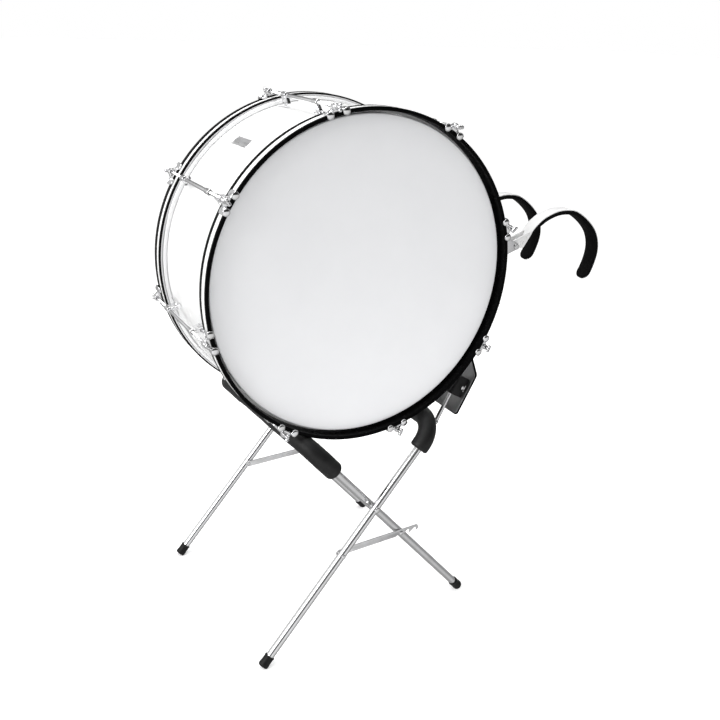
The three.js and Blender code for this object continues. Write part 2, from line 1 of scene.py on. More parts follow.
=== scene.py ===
"""A marching bass drum on a folding X stand, with its shoulder carrier attached.

The drum's axis runs along Y with the front hoop towards -Y, Z is up and the floor is z = 0.
Shapes are drawn in millimetres in local axes and then placed in metres.
A part is a pair (vertices in mm, faces). Angles are in degrees where a name says so.
"""

import math
from contextlib import contextmanager
from math import cos, pi, radians, sin, sqrt

import bmesh
import bpy
import numpy as np
from mathutils import Matrix, Vector


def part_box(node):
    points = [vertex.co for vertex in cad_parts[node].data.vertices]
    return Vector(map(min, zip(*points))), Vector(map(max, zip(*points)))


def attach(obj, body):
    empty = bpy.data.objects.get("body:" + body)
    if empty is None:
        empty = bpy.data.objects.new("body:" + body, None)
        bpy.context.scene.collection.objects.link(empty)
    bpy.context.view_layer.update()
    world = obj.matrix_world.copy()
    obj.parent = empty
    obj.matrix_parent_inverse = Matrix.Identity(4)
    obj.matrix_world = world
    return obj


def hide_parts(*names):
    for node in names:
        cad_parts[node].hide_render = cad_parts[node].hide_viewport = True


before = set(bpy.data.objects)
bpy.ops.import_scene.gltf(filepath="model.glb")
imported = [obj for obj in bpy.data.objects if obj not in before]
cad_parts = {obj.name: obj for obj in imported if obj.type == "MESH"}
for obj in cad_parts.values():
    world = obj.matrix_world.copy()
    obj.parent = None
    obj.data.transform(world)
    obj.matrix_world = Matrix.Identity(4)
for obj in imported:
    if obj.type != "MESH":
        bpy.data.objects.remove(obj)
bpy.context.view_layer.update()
MM = 0.001

# ---- driving dimensions, in mm --------------------------------------------------------
# drum: y is measured from the front hoop's front edge, radii from the axis
DEPTH = 348.0
SHELL_R, SHELL_WALL = 355.4, 6.9
SHELL_INSET = 21.8  # from the drum's end to the shell's edge
HOOP_OUTER_R, HOOP_INNER_R, HOOP_WIDTH = 371.0, 362.6, 38.0
HEAD_Y = 20.7
ROUND = 256  # segments round the drum

# tension lines, evenly spaced round the drum
LINES = 8
FIRST_LINE_DEG = 103.7
ROD_R, ROD_AXIS_R = 3.0, 382.0
HANDLE_OUT = 13.5  # from the drum's end to the middle of a handle
HANDLE_TURN_DEG = (12, 62, -28, 84, 38, -14, 52, 24)

# stand: two U frames, y measured from the middle of the stand, z along a leg from the pivot
TUBE_R = 9.5
LEAN_DEG = 41.5
STAND_TURN_DEG = 3.3
PIVOT_Z = 334.0
STAND_Y = 220.0
LEG_DOWN, LEG_UP = 437.0, 245.0
OUTER_WIDTH, INNER_WIDTH = 520.0, 472.0
OUTER_Y, INNER_Y = OUTER_WIDTH / 2, INNER_WIDTH / 2
STRUT_Y = (OUTER_Y + INNER_Y) / 2
BEND_R = 60.0
SLEEVE_R, SLEEVE_BORE_R = 22.7, 11.0
STRUT_DOWN = 132.0  # from the pivot down a leg to the strut's pin

# carrier axes: x runs down along the bars, z away from the drum
TILT_DEG = 118.4
BAR_OUT, BAR_R = 404.0, 5.3
BAR_TOP, BAR_END = -90.0, 243.0
BAR_YS = (62.0, DEPTH - 62.0)
CROSS_X, CROSS_Z = 412.0, 37.0  # crossbar, from the drum's axis in upright axes
CROSS_R = 7.0
CROSS_Y = (20.0, 330.0)
SPINE_Y = DEPTH / 2


def turned(degrees, axis="Y"):
    return Matrix.Rotation(radians(degrees), 4, axis)


# the drum's axis and the front hoop's front edge, in metres
hoop_low, hoop_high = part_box("front_hoop")
AXIS_X = (hoop_low.x + hoop_high.x) / 2
AXIS_Z = (hoop_low.z + hoop_high.z) / 2
FRONT_Y = hoop_low.y

DRUM = Matrix.Translation((AXIS_X, FRONT_Y, AXIS_Z))
STAND = Matrix.Translation((AXIS_X, FRONT_Y + STAND_Y * MM, PIVOT_Z * MM)) @ turned(
    STAND_TURN_DEG, "Z"
)
OUTER = STAND @ turned(LEAN_DEG)
INNER = STAND @ turned(-LEAN_DEG)
CARRIER = DRUM @ turned(TILT_DEG)


# ---- meshes ---------------------------------------------------------------------------
def new_mesh(name, verts, faces):
    mesh = bpy.data.meshes.new(name)
    mesh.from_pydata(np.asarray(verts, float).tolist(), [], faces)
    return mesh


@contextmanager
def editing(mesh):
    """Opens a mesh for editing, and turns its faces outwards when it is closed again."""
    shape = bmesh.new()
    shape.from_mesh(mesh)
    yield shape
    bmesh.ops.recalc_face_normals(shape, faces=shape.faces)
    shape.to_mesh(mesh)
    shape.free()


def tidy(part, weld=1e-4):
    """Mesh of a part, without double vertices or flat faces."""
    mesh = new_mesh("tmp", *part)
    with editing(mesh) as shape:
        bmesh.ops.remove_doubles(shape, verts=shape.verts, dist=weld)
        bmesh.ops.dissolve_degenerate(shape, edges=shape.edges, dist=weld * 0.2)
    return mesh


def coordinates(mesh):
    flat = np.zeros(len(mesh.vertices) * 3, np.float64)
    mesh.vertices.foreach_get("co", flat)
    return flat.reshape(-1, 3)


def part_of(mesh):
    return coordinates(mesh), [tuple(face.vertices) for face in mesh.polygons]


def shade(mesh, angle):
    mesh.shade_smooth()
    mesh.set_sharp_from_angle(angle=radians(angle))


def to_mesh(name, part, angle=35.0):
    """Smooth-shaded mesh in metres of a part, or of a mesh in mm."""
    mesh = part if isinstance(part, bpy.types.Mesh) else tidy(part)
    mesh.name = name
    mesh.transform(Matrix.Scale(MM, 4))
    shade(mesh, angle)
    return mesh


def add_mesh(name, mesh, matrix, body, finish, *replaces):
    """Object of a mesh in metres. finish is (slot name, material, ...)."""
    slot, *materials = finish
    for material in materials:
        if material.name not in mesh.materials:
            mesh.materials.append(material)
    thing = bpy.data.objects.new(name, mesh)
    bpy.context.scene.collection.objects.link(thing)
    thing.matrix_world = matrix
    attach(thing, body)
    if replaces:
        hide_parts(*replaces)
    return thing


def add(name, part, matrix, body, finish, *replaces, angle=35.0):
    """Object of a part, or of a mesh in mm, with its placement baked into the vertices."""
    mesh = to_mesh(name, part, angle)
    mesh.transform(matrix)
    return add_mesh(name, mesh, Matrix.Identity(4), body, finish, *replaces)


def merge(*parts):
    """One part from several parts or meshes in mm."""
    verts, faces = [], []
    for part in parts:
        some, some_faces = part_of(part) if isinstance(part, bpy.types.Mesh) else part
        start = len(verts)
        verts.extend(some)
        faces.extend(tuple(i + start for i in face) for face in some_faces)
    return verts, faces


def moved(part, offset, turn_deg=0.0):
    """Turns a part about Y, then moves it."""
    verts, faces = part
    matrix = np.array(turned(turn_deg), float)[:3, :3]
    return np.asarray(verts, float) @ matrix.T + np.asarray(offset, float), faces


def mirror_y(part, total=DEPTH):
    """Sends y to total - y."""
    verts, faces = part
    verts = np.array(verts, float)
    verts[:, 1] = total - verts[:, 1]
    return verts, [face[::-1] for face in faces]


def flip(profile):
    """Carries an (r, y) profile over to the other end of the drum."""
    return [(r, DEPTH - y) for r, y in profile][::-1]


# ---- outlines and paths ---------------------------------------------------------------
def fillet(points, radius, steps=4, closed=True):
    """Rounds the corners of a 2D outline. radius is one number or one per corner."""
    corners = [np.asarray(point, float) for point in points]
    count = len(corners)
    radii = list(radius) if isinstance(radius, (list, tuple)) else [radius] * count
    outline = []
    for i, corner in enumerate(corners):
        if radii[i] <= 0 or (not closed and i in (0, count - 1)):
            outline.append(corner)
            continue
        back, ahead = corners[i - 1] - corner, corners[(i + 1) % count] - corner
        back_length, ahead_length = np.linalg.norm(back), np.linalg.norm(ahead)
        back, ahead = back / back_length, ahead / ahead_length
        angle = math.acos(max(-1, min(1, float(back @ ahead))))
        if angle > pi - 0.02:
            outline.append(corner)
            continue
        # how far back from the corner the arc starts, at most about half of either side
        cut = min(radii[i] / math.tan(angle / 2), back_length * 0.48, ahead_length * 0.48)
        arc_r = cut * math.tan(angle / 2)
        middle = (back + ahead) / np.linalg.norm(back + ahead)
        centre = corner + middle * (arc_r / sin(angle / 2))
        first, last = corner + back * cut - centre, corner + ahead * cut - centre
        start = math.atan2(first[1], first[0])
        sweep_angle = (math.atan2(last[1], last[0]) - start + pi) % (2 * pi) - pi
        for k in range(steps + 1):
            at = start + sweep_angle * k / steps
            outline.append(centre + arc_r * np.array([cos(at), sin(at)]))
    return np.array(outline)


def ring(radius, segments):
    turn = np.arange(segments) * 2 * pi / segments
    return np.stack([radius * np.cos(turn), radius * np.sin(turn)], -1)


def hole(radius, steps, x=0.0, y=0.0):
    turns = np.linspace(0, 2 * pi, steps + 1)[:-1]
    return [(x + radius * cos(a), y + radius * sin(a)) for a in turns]


def catmull(points, steps=8):
    """Catmull-Rom curve through points."""
    knots = [np.asarray(point, float) for point in points]
    knots = [2 * knots[0] - knots[1]] + knots + [2 * knots[-1] - knots[-2]]
    curve = []
    for p0, p1, p2, p3 in zip(knots, knots[1:], knots[2:], knots[3:]):
        for k in range(steps):
            t = k / steps
            linear = (p2 - p0) * t
            square = (2 * p0 - 5 * p1 + 4 * p2 - p3) * t * t
            cube = (3 * p1 - p0 - 3 * p2 + p3) * t**3
            curve.append(0.5 * (2 * p1 + linear + square + cube))
    curve.append(knots[-2])
    return np.array(curve)


def arc_lengths(path):
    return np.concatenate([[0], np.cumsum(np.linalg.norm(np.diff(path, axis=0), axis=1))])


def interpolate(path, lengths, wanted):
    """Points of a path at the wanted arc lengths."""
    return np.stack([np.interp(wanted, lengths, column) for column in path.T], -1)


def unit(vectors):
    return vectors / np.linalg.norm(vectors, axis=1)[:, None]


def tangents(path):
    along = np.zeros_like(path)
    along[1:-1] = path[2:] - path[:-2]
    along[0], along[-1] = path[1] - path[0], path[-1] - path[-2]
    return unit(along)


def frames(path, up):
    """Two unit vectors square to each point of a path; the first leans towards up."""
    along = tangents(path)
    up = np.asarray(up, float)
    side = unit(up - (along @ up)[:, None] * along)
    return side, np.cross(along, side)


def offsets(section, side, lift):
    """Section points, one set for all stations or one per station, in each frame."""
    return section[..., 0:1] * side[:, None] + section[..., 1:] * lift[:, None]


# ---- solids ---------------------------------------------------------------------------
def ring_faces(rings, size, closed=False, start=0):
    """Quads between successive rings; closed joins the last ring to the first."""
    faces = []
    for i in range(rings if closed else rings - 1):
        here, there = start + i * size, start + (i + 1) % rings * size
        for j in range(size):
            k = (j + 1) % size
            faces.append((here + j, here + k, there + k, there + j))
    return faces


def capped_faces(rings, size):
    caps = [tuple(range(size))[::-1], tuple(range((rings - 1) * size, rings * size))]
    return ring_faces(rings, size) + caps


def tube_faces(rings, size):
    """Faces of a hollow tube whose inner rings are listed after its outer ones."""
    inner = rings * size
    faces = ring_faces(rings, size)
    faces += [face[::-1] for face in ring_faces(rings, size, start=inner)]
    for end in (0, inner - size):
        for j in range(size):
            k = (j + 1) % size
            quad = (end + j, end + k, inner + end + k, inner + end + j)
            faces.append(quad if end == 0 else quad[::-1])
    return faces


def lathe(profile, segments=128):
    """Closed (r, y) profile turned about Y."""
    radii, heights = np.asarray(profile, float).T
    turn = (np.arange(segments) * 2 * pi / segments)[:, None]
    heights = np.tile(heights, (segments, 1))
    verts = np.stack([radii * np.sin(turn), heights, radii * np.cos(turn)], -1)
    return verts.reshape(-1, 3), ring_faces(segments, len(radii), closed=True)


def sweep(path, section, up=(0, 1, 0), scale=None, bore=None):
    """Sweeps a closed section along a path, its first column lying along up.

    scale: section factors per station, in one or two columns.
    bore: section of an inner wall; without it the ends are capped."""
    path, section = np.asarray(path, float), np.asarray(section, float)
    stations, size = len(path), len(section)
    side, lift = frames(path, up)
    scale = np.ones((stations, 1)) if scale is None else scale
    wall = path[:, None] + offsets(section * scale[:, None], side, lift)
    wall = wall.reshape(-1, 3)
    if bore is None:
        return wall, capped_faces(stations, size)
    inner = path[:, None] + offsets(bore, side, lift)
    return np.concatenate([wall, inner.reshape(-1, 3)]), tube_faces(stations, size)


def rod(start, end, radius, segments=32, rounding=0.0):
    """Round bar with rounded end edges."""
    start, end = np.asarray(start, float), np.asarray(end, float)
    length = np.linalg.norm(end - start)
    axis = (end - start) / length
    edge = min(rounding, radius, length / 2)
    quarter = np.arange(7 if edge > 0 else 1) / 6 * pi / 2
    inset = edge * (1 - np.cos(quarter))
    width = (radius - edge + edge * np.sin(quarter)) / radius
    along = np.concatenate([inset, length - inset[::-1]])
    scale = np.maximum(np.concatenate([width, width[::-1]]), 1e-3)
    up = (0, 1, 0) if abs(axis[1]) < 0.9 else (1, 0, 0)
    return sweep(start + along[:, None] * axis, ring(radius, segments), up, scale[:, None])


def ball(centre, radius, segments=24, squash=(1, 1, 1)):
    steps = segments // 2
    turns = [k * pi / steps for k in range(steps + 1)]
    verts, faces = lathe([(radius * sin(a), -radius * cos(a)) for a in turns], segments)
    # the faces that would close the profile along its axis are left out
    faces = [face for face in faces if face[0] % (steps + 1) != steps]
    return verts * np.asarray(squash) + np.asarray(centre, float), faces


def dome(start, end, radius, x=0.0, z=0.0):
    """Low domed head along Y, flat at start and domed at end."""
    height = abs(end - start)
    arc = np.linspace(0.15, pi / 2 - 0.02, 8)
    profile = [(0.0, 0.0), (radius, 0.0), (radius, height * 0.3)]
    profile += [(radius * cos(a), height * 0.3 + height * 0.7 * sin(a)) for a in arc]
    verts, faces = lathe(profile + [(0.0, height)], 36)
    if end < start:
        verts, faces = mirror_y((verts, faces), 0.0)
    return moved((verts, faces), (x, start, z))


# outline plane -> matrix that lays the outline in it, with the depth along the third axis
PLANES = {
    "xy": Matrix(((1, 0, 0), (0, 1, 0), (0, 0, 1))).to_4x4(),
    "xz": Matrix(((1, 0, 0), (0, 0, 1), (0, 1, 0))).to_4x4(),
    "yz": Matrix(((0, 0, 1), (1, 0, 0), (0, 1, 0))).to_4x4(),
}


def prism(outline, start, end, plane, bevel, holes=(), bevel_steps=3):
    """Mesh in mm of an outline extruded square to its plane, with rounded rims."""
    mesh = bpy.data.meshes.new("prism")
    with editing(mesh) as shape:
        edges = []
        for loop in (outline, *holes):
            verts = [shape.verts.new((point[0], point[1], 0)) for point in loop]
            for vert, after in zip(verts, verts[1:] + verts[:1]):
                edges.append(shape.edges.new((vert, after)))
        if holes:
            bmesh.ops.triangle_fill(shape, use_beauty=True, use_dissolve=True, edges=edges)
        else:
            shape.faces.new(list(shape.verts))
        extruded = bmesh.ops.extrude_face_region(shape, geom=list(shape.faces))
        for item in extruded["geom"]:
            if isinstance(item, bmesh.types.BMVert):
                item.co.z += end - start
        bmesh.ops.translate(shape, verts=shape.verts, vec=(0, 0, start))
        bmesh.ops.recalc_face_normals(shape, faces=shape.faces)
        rims = [
            edge
            for edge in shape.edges
            if len(edge.link_faces) == 2
            and edge.calc_face_angle(0) > radians(50)
            and abs(edge.verts[0].co.z - edge.verts[1].co.z) < 1e-6
        ]
        bmesh.ops.bevel(
            shape,
            geom=rims,
            offset=bevel,
            segments=bevel_steps,
            profile=0.5,
            affect="EDGES",
            clamp_overlap=True,
        )
        bmesh.ops.transform(shape, matrix=PLANES[plane], verts=shape.verts)
    return mesh


def fuse(parts, voxel):
    """Casts overlapping closed parts into one mesh in mm, with soft fillets."""
    work = bpy.data.objects.new("work", tidy(merge(*parts)))
    bpy.context.scene.collection.objects.link(work)
    remesh = work.modifiers.new("remesh", "REMESH")
    remesh.mode = "VOXEL"
    remesh.voxel_size = voxel
    smooth = work.modifiers.new("smooth", "SMOOTH")
    smooth.factor = 0.45
    smooth.iterations = 5
    bpy.context.view_layer.update()
    evaluated = work.evaluated_get(bpy.context.evaluated_depsgraph_get())
    fused = bpy.data.meshes.new_from_object(evaluated)
    bpy.data.objects.remove(work)
    return fused


# ---- shader nodes ---------------------------------------------------------------------
def connect(tree, value, socket):
    """Links an output to a socket, or sets the socket to a plain value."""
    if isinstance(value, bpy.types.NodeSocket):
        tree.links.new(value, socket)
    else:
        socket.default_value = value


def add_node(tree, kind, inputs, **settings):
    """inputs: {socket name or index: output or value}."""
    made = tree.nodes.new("ShaderNode" + kind)
    for key, value in settings.items():
        setattr(made, key, value)
    for key, value in inputs.items():
        connect(tree, value, made.inputs[key])
    return made


def map_range(tree, value, source, target, **settings):
    """Maps the range source onto the range target."""
    inputs = dict(enumerate((value, *source, *target)))
    return add_node(tree, "MapRange", inputs, **settings).outputs[0]


def math_node(tree, operation, first, second):
    return add_node(tree, "Math", {0: first, 1: second}, operation=operation).outputs[0]


class Surface:
    """A Principled material with textures in object coordinates."""

    def __init__(self, name, base, roughness, metal=0.0, specular=0.5, **more):
        self.material = bpy.data.materials.new(name)
        self.material.use_nodes = True
        self.tree = self.material.node_tree
        self.shader = next(n for n in self.tree.nodes if n.type == "BSDF_PRINCIPLED")
        self.put("Base Color", (*base, 1.0))
        self.put("Roughness", roughness)
        self.put("Metallic", metal)
        self.put("Specular IOR Level", specular)
        for key, value in more.items():
            self.put(key.replace("_", " ").title(), value)
        self.coords = add_node(self.tree, "TexCoord", {}).outputs["Object"]
        self.normal = None

    def put(self, key, value):
        connect(self.tree, value, self.shader.inputs[key])

    def texture(self, kind, output, inputs, stretch=(1, 1, 1), **settings):
        mapping = add_node(self.tree, "Mapping", {"Scale": stretch, "Vector": self.coords})
        inputs = {**inputs, "Vector": mapping.outputs["Vector"]}
        return add_node(self.tree, "Tex" + kind, inputs, **settings).outputs[output]

    def noise(self, scale, detail, rough=0.55, stretch=(1, 1, 1)):
        inputs = {"Scale": scale, "Detail": detail, "Roughness": rough}
        return self.texture("Noise", "Fac", inputs, stretch)

    def wave(self, direction, scale, distortion=0.0):
        inputs = {"Scale": scale, "Distortion": distortion}
        return self.texture("Wave", "Fac", inputs, bands_direction=direction)

    def colour(self, factor, dark, light):
        # sockets 0, 6, 7 and output 2 are the colour mix's factor, A, B and result
        inputs = {0: factor, 6: (*dark, 1), 7: (*light, 1)}
        mix = add_node(self.tree, "Mix", inputs, data_type="RGBA")
        self.put("Base Color", mix.outputs[2])

    def mottle(self, dark, light, span=(0.3, 0.7), **noise):
        """Colour that drifts between two shades."""
        self.colour(map_range(self.tree, self.noise(**noise), span, (0, 1)), dark, light)

    def smudge(self, low, high, span=(0.3, 0.7), **noise):
        """Roughness that drifts between low and high."""
        drift = map_range(self.tree, self.noise(**noise), span, (low, high))
        self.put("Roughness", drift)

    def bump(self, height, strength, depth):
        """Relief with its depth in mm, on top of any earlier one."""
        inputs = {"Strength": strength, "Distance": depth * MM, "Height": height}
        if self.normal is not None:
            inputs["Normal"] = self.normal
        self.normal = add_node(self.tree, "Bump", inputs).outputs["Normal"]
        self.put("Normal", self.normal)

    def grain(self, strength, depth, **noise):
        self.bump(self.noise(**noise), strength, depth)


def grey(value, blue=1.0):
    return (value, value, value * blue)


# ---- materials ------------------------------------------------------------------------
def white_lacquer(name):
    paint = Surface(
        name, (0.9, 0.9, 0.895), 0.25, specular=0.4, coat_weight=0.2, coat_roughness=0.06
    )
    dark, light = (0.885, 0.887, 0.885), (0.915, 0.915, 0.91)
    paint.mottle(dark, light, span=(0.35, 0.65), scale=6, detail=2)
    paint.smudge(0.16, 0.28, scale=35, detail=4)
    paint.grain(strength=0.05, depth=0.25, scale=420, detail=2)
    return paint.material


def black_lacquer():
    paint = Surface("black_lacquer", (0.001, 0.001, 0.0011), 0.26, specular=0.03)
    paint.mottle((0.0007, 0.0007, 0.0008), (0.0016, 0.0016, 0.0017), scale=60, detail=3)
    paint.smudge(0.22, 0.36, scale=45, detail=5)
    paint.grain(strength=0.05, depth=0.25, scale=380, detail=2)
    return paint.material


def head_film():
    film = Surface("head_film", (0.715, 0.72, 0.734), 0.42, specular=0.3, sheen_weight=0.08)
    dark, light = (0.705, 0.709, 0.722), (0.727, 0.731, 0.743)
    film.mottle(dark, light, scale=7, detail=4, rough=0.6)
    film.smudge(0.36, 0.5, scale=120, detail=4)
    film.grain(strength=0.12, depth=0.12, scale=900, detail=4, rough=0.7)
    return film.material


def chrome(name, tint, roughness, stretch=(1, 0.08, 1)):
    """Polished metal with fine streaks along the compressed axis of stretch."""
    metal = Surface(name, grey(tint, 1.01), 0.1, metal=1.0)
    light = (tint * 1.04, tint * 1.04, tint * 1.06)
    metal.mottle(grey(tint * 0.95), light, span=(0.35, 0.65), scale=40, detail=4)
    metal.smudge(*roughness, span=(0.3, 0.75), scale=160, detail=6, rough=0.7)
    metal.grain(
        strength=0.04, depth=0.06, scale=900, detail=4, rough=0.7, stretch=stretch
    )
    return metal.material


def satin_metal(name, tint, roughness, stretch, strength=0.12):
    """Brushed metal, streaked along the compressed axes of stretch."""
    metal = Surface(name, grey(tint, 1.01), roughness, metal=1.0, anisotropic=0.35)
    light = (tint * 1.08, tint * 1.08, tint * 1.1)
    metal.mottle(grey(tint * 0.86), light, scale=25, detail=5, rough=0.6)
    metal.smudge(
        roughness - 0.08,
        roughness + 0.12,
        span=(0.25, 0.75),
        scale=300,
        detail=5,
        rough=0.7,
        stretch=stretch,
    )
    metal.grain(strength, depth=0.1, scale=700, detail=5, rough=0.75, stretch=stretch)
    return metal.material


def flesh_coat():
    coat = Surface("flesh_hoop_coat", (0.79, 0.79, 0.795), 0.3, specular=0.3)
    coat.mottle((0.775, 0.775, 0.78), (0.805, 0.805, 0.81), scale=30, detail=4)
    coat.smudge(0.24, 0.38, scale=90, detail=4)
    coat.grain(strength=0.06, depth=0.2, scale=500, detail=3)
    return coat.material


def foam():
    sponge = Surface("foam_sleeve", (0.0035, 0.0035, 0.0037), 0.5, specular=0.4)
    dark, light = (0.002, 0.002, 0.0022), (0.006, 0.006, 0.0062)
    sponge.mottle(dark, light, scale=55, detail=5, rough=0.65)
    sponge.smudge(0.44, 0.6, scale=90, detail=4)
    sponge.grain(strength=0.18, depth=1.0, scale=60, detail=3)
    cells = sponge.texture("Voronoi", "Distance", {"Scale": 1100})
    sponge.bump(cells, strength=0.22, depth=0.25)
    return sponge.material


def rubber():
    gum = Surface("foot_rubber", (0.003, 0.003, 0.0032), 0.45, specular=0.25)
    dark, light = (0.002, 0.002, 0.0022), (0.007, 0.007, 0.007)
    gum.mottle(dark, light, span=(0.35, 0.7), scale=140, detail=5, rough=0.7)
    gum.smudge(0.36, 0.58, scale=200, detail=4)
    gum.grain(strength=0.16, depth=0.15, scale=1300, detail=3)
    return gum.material


def powder_white():
    coat = Surface(
        "band_coating", grey(0.7), 0.34, specular=0.4, coat_weight=0.1, coat_roughness=0.25
    )
    coat.mottle(grey(0.67), grey(0.72), scale=30, detail=4)
    coat.smudge(0.28, 0.42, scale=80, detail=4)
    coat.grain(strength=0.12, depth=0.15, scale=1100, detail=3)
    return coat.material


def powder_black():
    coat = Surface("clamp_coating", (0.004, 0.004, 0.0042), 0.4, specular=0.2)
    dark, light = (0.003, 0.003, 0.0033), (0.007, 0.007, 0.0073)
    coat.mottle(dark, light, scale=70, detail=5, rough=0.65)
    coat.smudge(0.34, 0.5, scale=120, detail=4)
    coat.grain(strength=0.22, depth=0.15, scale=1500, detail=3, rough=0.6)
    return coat.material


def fabric():
    """Woven cloth from crossed waves."""
    cloth = Surface("pad_fabric", (0.003, 0.003, 0.0032), 0.8, specular=0.06)
    tree = cloth.tree
    thread_scale = 420
    flat = math_node(
        tree, "MULTIPLY", cloth.wave("X", thread_scale), cloth.wave("Y", thread_scale)
    )
    upright = math_node(
        tree,
        "MULTIPLY",
        cloth.wave("Z", thread_scale),
        cloth.wave("Y", thread_scale, distortion=0.4),
    )
    weave = math_node(tree, "MAXIMUM", flat, upright)
    wear = map_range(tree, cloth.noise(scale=45, detail=4), (0.3, 0.7), (0.4, 1.0))
    shades = math_node(tree, "MULTIPLY", weave, wear)
    cloth.colour(shades, dark=(0.0015, 0.0015, 0.0017), light=(0.006, 0.006, 0.0063))
    cloth.put("Roughness", map_range(tree, weave, (0, 1), (0.62, 0.8)))
    cloth.grain(strength=0.15, depth=1.2, scale=70, detail=3)
    cloth.bump(weave, strength=0.35, depth=0.3)
    return cloth.material


def thread():
    yarn = Surface("thread", (0.03, 0.03, 0.031), 0.6, specular=0.3)
    yarn.mottle((0.02, 0.02, 0.021), (0.05, 0.05, 0.052), scale=900, detail=2)
    yarn.grain(strength=0.3, depth=0.15, scale=2600, detail=2)
    return yarn.material


flesh_coating = flesh_coat()
# the bead is bare metal, and its dark tone is also painted shade: the shadow line along the
# flesh hoop's edge
bead_metal_painted_shade = satin_metal("flesh_hoop_bead_painted_shade", 0.42, 0.3, (1, 1, 1), strength=0.05)

# finishes: slot name, then materials
SHELL_WHITE = ("shell_white", white_lacquer("white_lacquer"))
HOOP_BLACK = ("hoop_black", black_lacquer(), white_lacquer("inlay_lacquer"), flesh_coating)
HEAD_FILM = ("head_film", head_film())
FLESH_METAL = ("flesh_hoop_metal", flesh_coating, bead_metal_painted_shade)
CHROME = ("chrome", chrome("hardware_chrome", 0.78, (0.05, 0.16)))
BADGE_METAL = ("chrome", satin_metal("badge_metal", 0.84, 0.3, (1, 0.08, 1)))
TUBE_CHROME = ("stand_chrome", chrome("tube_chrome", 0.76, (0.06, 0.17), (1, 1, 0.06)))
CARRIER_CHROME = (
    "carrier_chrome",
    chrome("carrier_zinc", 0.62, (0.14, 0.26), (1, 0.1, 1)),
)
STRUT_STEEL = ("strut_steel", satin_metal("strut_zinc", 0.76, 0.3, (0.08, 1, 1)))
PLATE_METAL = (
    "plate_aluminium",
    satin_metal("plate_aluminium", 0.34, 0.36, (0.1, 1, 0.1)),
)
FOAM = ("foam", foam())
RUBBER = ("rubber", rubber())
BAND_WHITE = ("band_white", powder_white())
PAD_FABRIC = ("pad_black", fabric())
CLAMP_BLACK = ("clamp_black", powder_black())
THREAD = ("pad_black", thread())


# ---- drum -----------------------------------------------------------------------------
def paint_faces(thing, index, test):
    """Gives a material to the faces whose centre passes test(radius, y), in mm."""
    for face in thing.data.polygons:
        x, y, z = face.center
        if test(math.hypot(x - AXIS_X, z - AXIS_Z) / MM, (y - FRONT_Y) / MM):
            face.material_index = index


def shell_profile():
    inner = SHELL_R - SHELL_WALL
    crest = SHELL_R - 5.6  # the edge's outermost line
    corners = [
        (SHELL_R, SHELL_INSET + 4.8),
        (SHELL_R, DEPTH - SHELL_INSET - 4.8),
        (crest, DEPTH - SHELL_INSET),
        (inner, DEPTH - SHELL_INSET - 1.4),
        (inner, SHELL_INSET + 1.4),
        (crest, SHELL_INSET),
    ]
    return fillet(corners, [2.0, 2.0, 0.6, 0.4, 0.4, 0.6])


def head_profile():
    """A film that turns down over the shell's edge into its collar."""
    film, bend, bend_r = 0.7, 352.9, 3.5

    def corner(radius, y):
        turns = [k / 8 * pi / 2 for k in range(9)]
        return [(bend + radius * sin(a), y + radius * (1 - cos(a))) for a in turns]

    profile = [(r, HEAD_Y) for r in (0.0, 60, 120, 180, 240, 290, 325, 343, 350)]
    profile += corner(bend_r, HEAD_Y)
    profile += [(356.45, 33.0), (356.45, 46.0), (355.75, 46.0), (355.75, 33.0)]
    profile += corner(bend_r - film, HEAD_Y + film)[::-1]
    return profile + [(r, HEAD_Y + film) for r in (343, 290, 180, 60, 0.0)]


def flesh_profile():
    """A rolled metal channel with a bead at its outer edge."""
    # r, y, corner radius
    corners = [
        (357.0, 38.4, 0.3), (362.6, 38.4, 0.5), (364.6, 39.4, 0.9), (364.6, 42.2, 0.9),
        (363.4, 43.4, 0.5), (363.4, 47.4, 0.5), (357.0, 47.4, 0.3),
    ]
    return fillet([(r, y) for r, y, _ in corners], [radius for _, _, radius in corners])


def hoop_profile(inlay_start, inlay_end):
    """Rounded section with a shallow step at both sides of the inlay."""
    inner, outer, groove = HOOP_INNER_R, HOOP_OUTER_R, HOOP_OUTER_R - 0.22
    near = [(inner, 20), (inner, 0), (outer, 0), (outer, 5)]
    far = [(outer, 33), (outer, HOOP_WIDTH), (367.2, HOOP_WIDTH), (inner, HOOP_WIDTH)]
    return [
        *fillet(near, [0, 1.9, 1.9, 0], 5, closed=False),
        (outer, inlay_start - 0.1),
        (groove, inlay_start + 0.15),
        (groove, inlay_end - 0.15),
        (outer, inlay_end + 0.1),
        *fillet(far + [(inner, 20.5)], [0, 1.9, 0, 1.9, 0], 5, closed=False),
    ]


def hoop(name, profile, inlay, node):
    """Black counter hoop with a light inlay let into the outer face."""
    made = add(name, lathe(profile, ROUND), DRUM, "drum", HOOP_BLACK, node)
    paint_faces(
        made,
        1,
        lambda radius, y: radius > HOOP_OUTER_R - 0.6
        and inlay[0] + 0.2 < y < inlay[1] - 0.2,
    )
    return made


add("drum_shell", lathe(shell_profile(), ROUND), DRUM, "drum", SHELL_WHITE, "shell")
for side, place in (("front", list), ("back", flip)):
    film = lathe(place(head_profile()), ROUND)
    add(side + "_film", film, DRUM, "drum", HEAD_FILM, side + "_head")
for side, place in (("front", list), ("back", flip)):
    channel = lathe(place(flesh_profile()), ROUND)
    node = side + "_flesh_hoop"
    flesh_ring = add(side + "_flesh_ring", channel, DRUM, "drum", FLESH_METAL, node)
    # the bead's faces get the dark metal, which is painted shade along the flesh hoop's edge
    paint_faces(flesh_ring, 1, lambda radius, y: radius > 363.7)

hoop("front_counter_hoop", hoop_profile(6.5, 23.5), (6.5, 23.5), "front_hoop")
back_hoop = hoop(
    "back_counter_hoop",
    flip(hoop_profile(18.5, 30.5)),
    (DEPTH - 30.5, DEPTH - 18.5),
    "back_hoop",
)
# the back hoop's inner edge carries a bright seat
paint_faces(
    back_hoop,
    2,
    lambda radius, y: y < DEPTH - HOOP_WIDTH + 0.6 and HOOP_INNER_R + 0.5 < radius < 367.0,
)


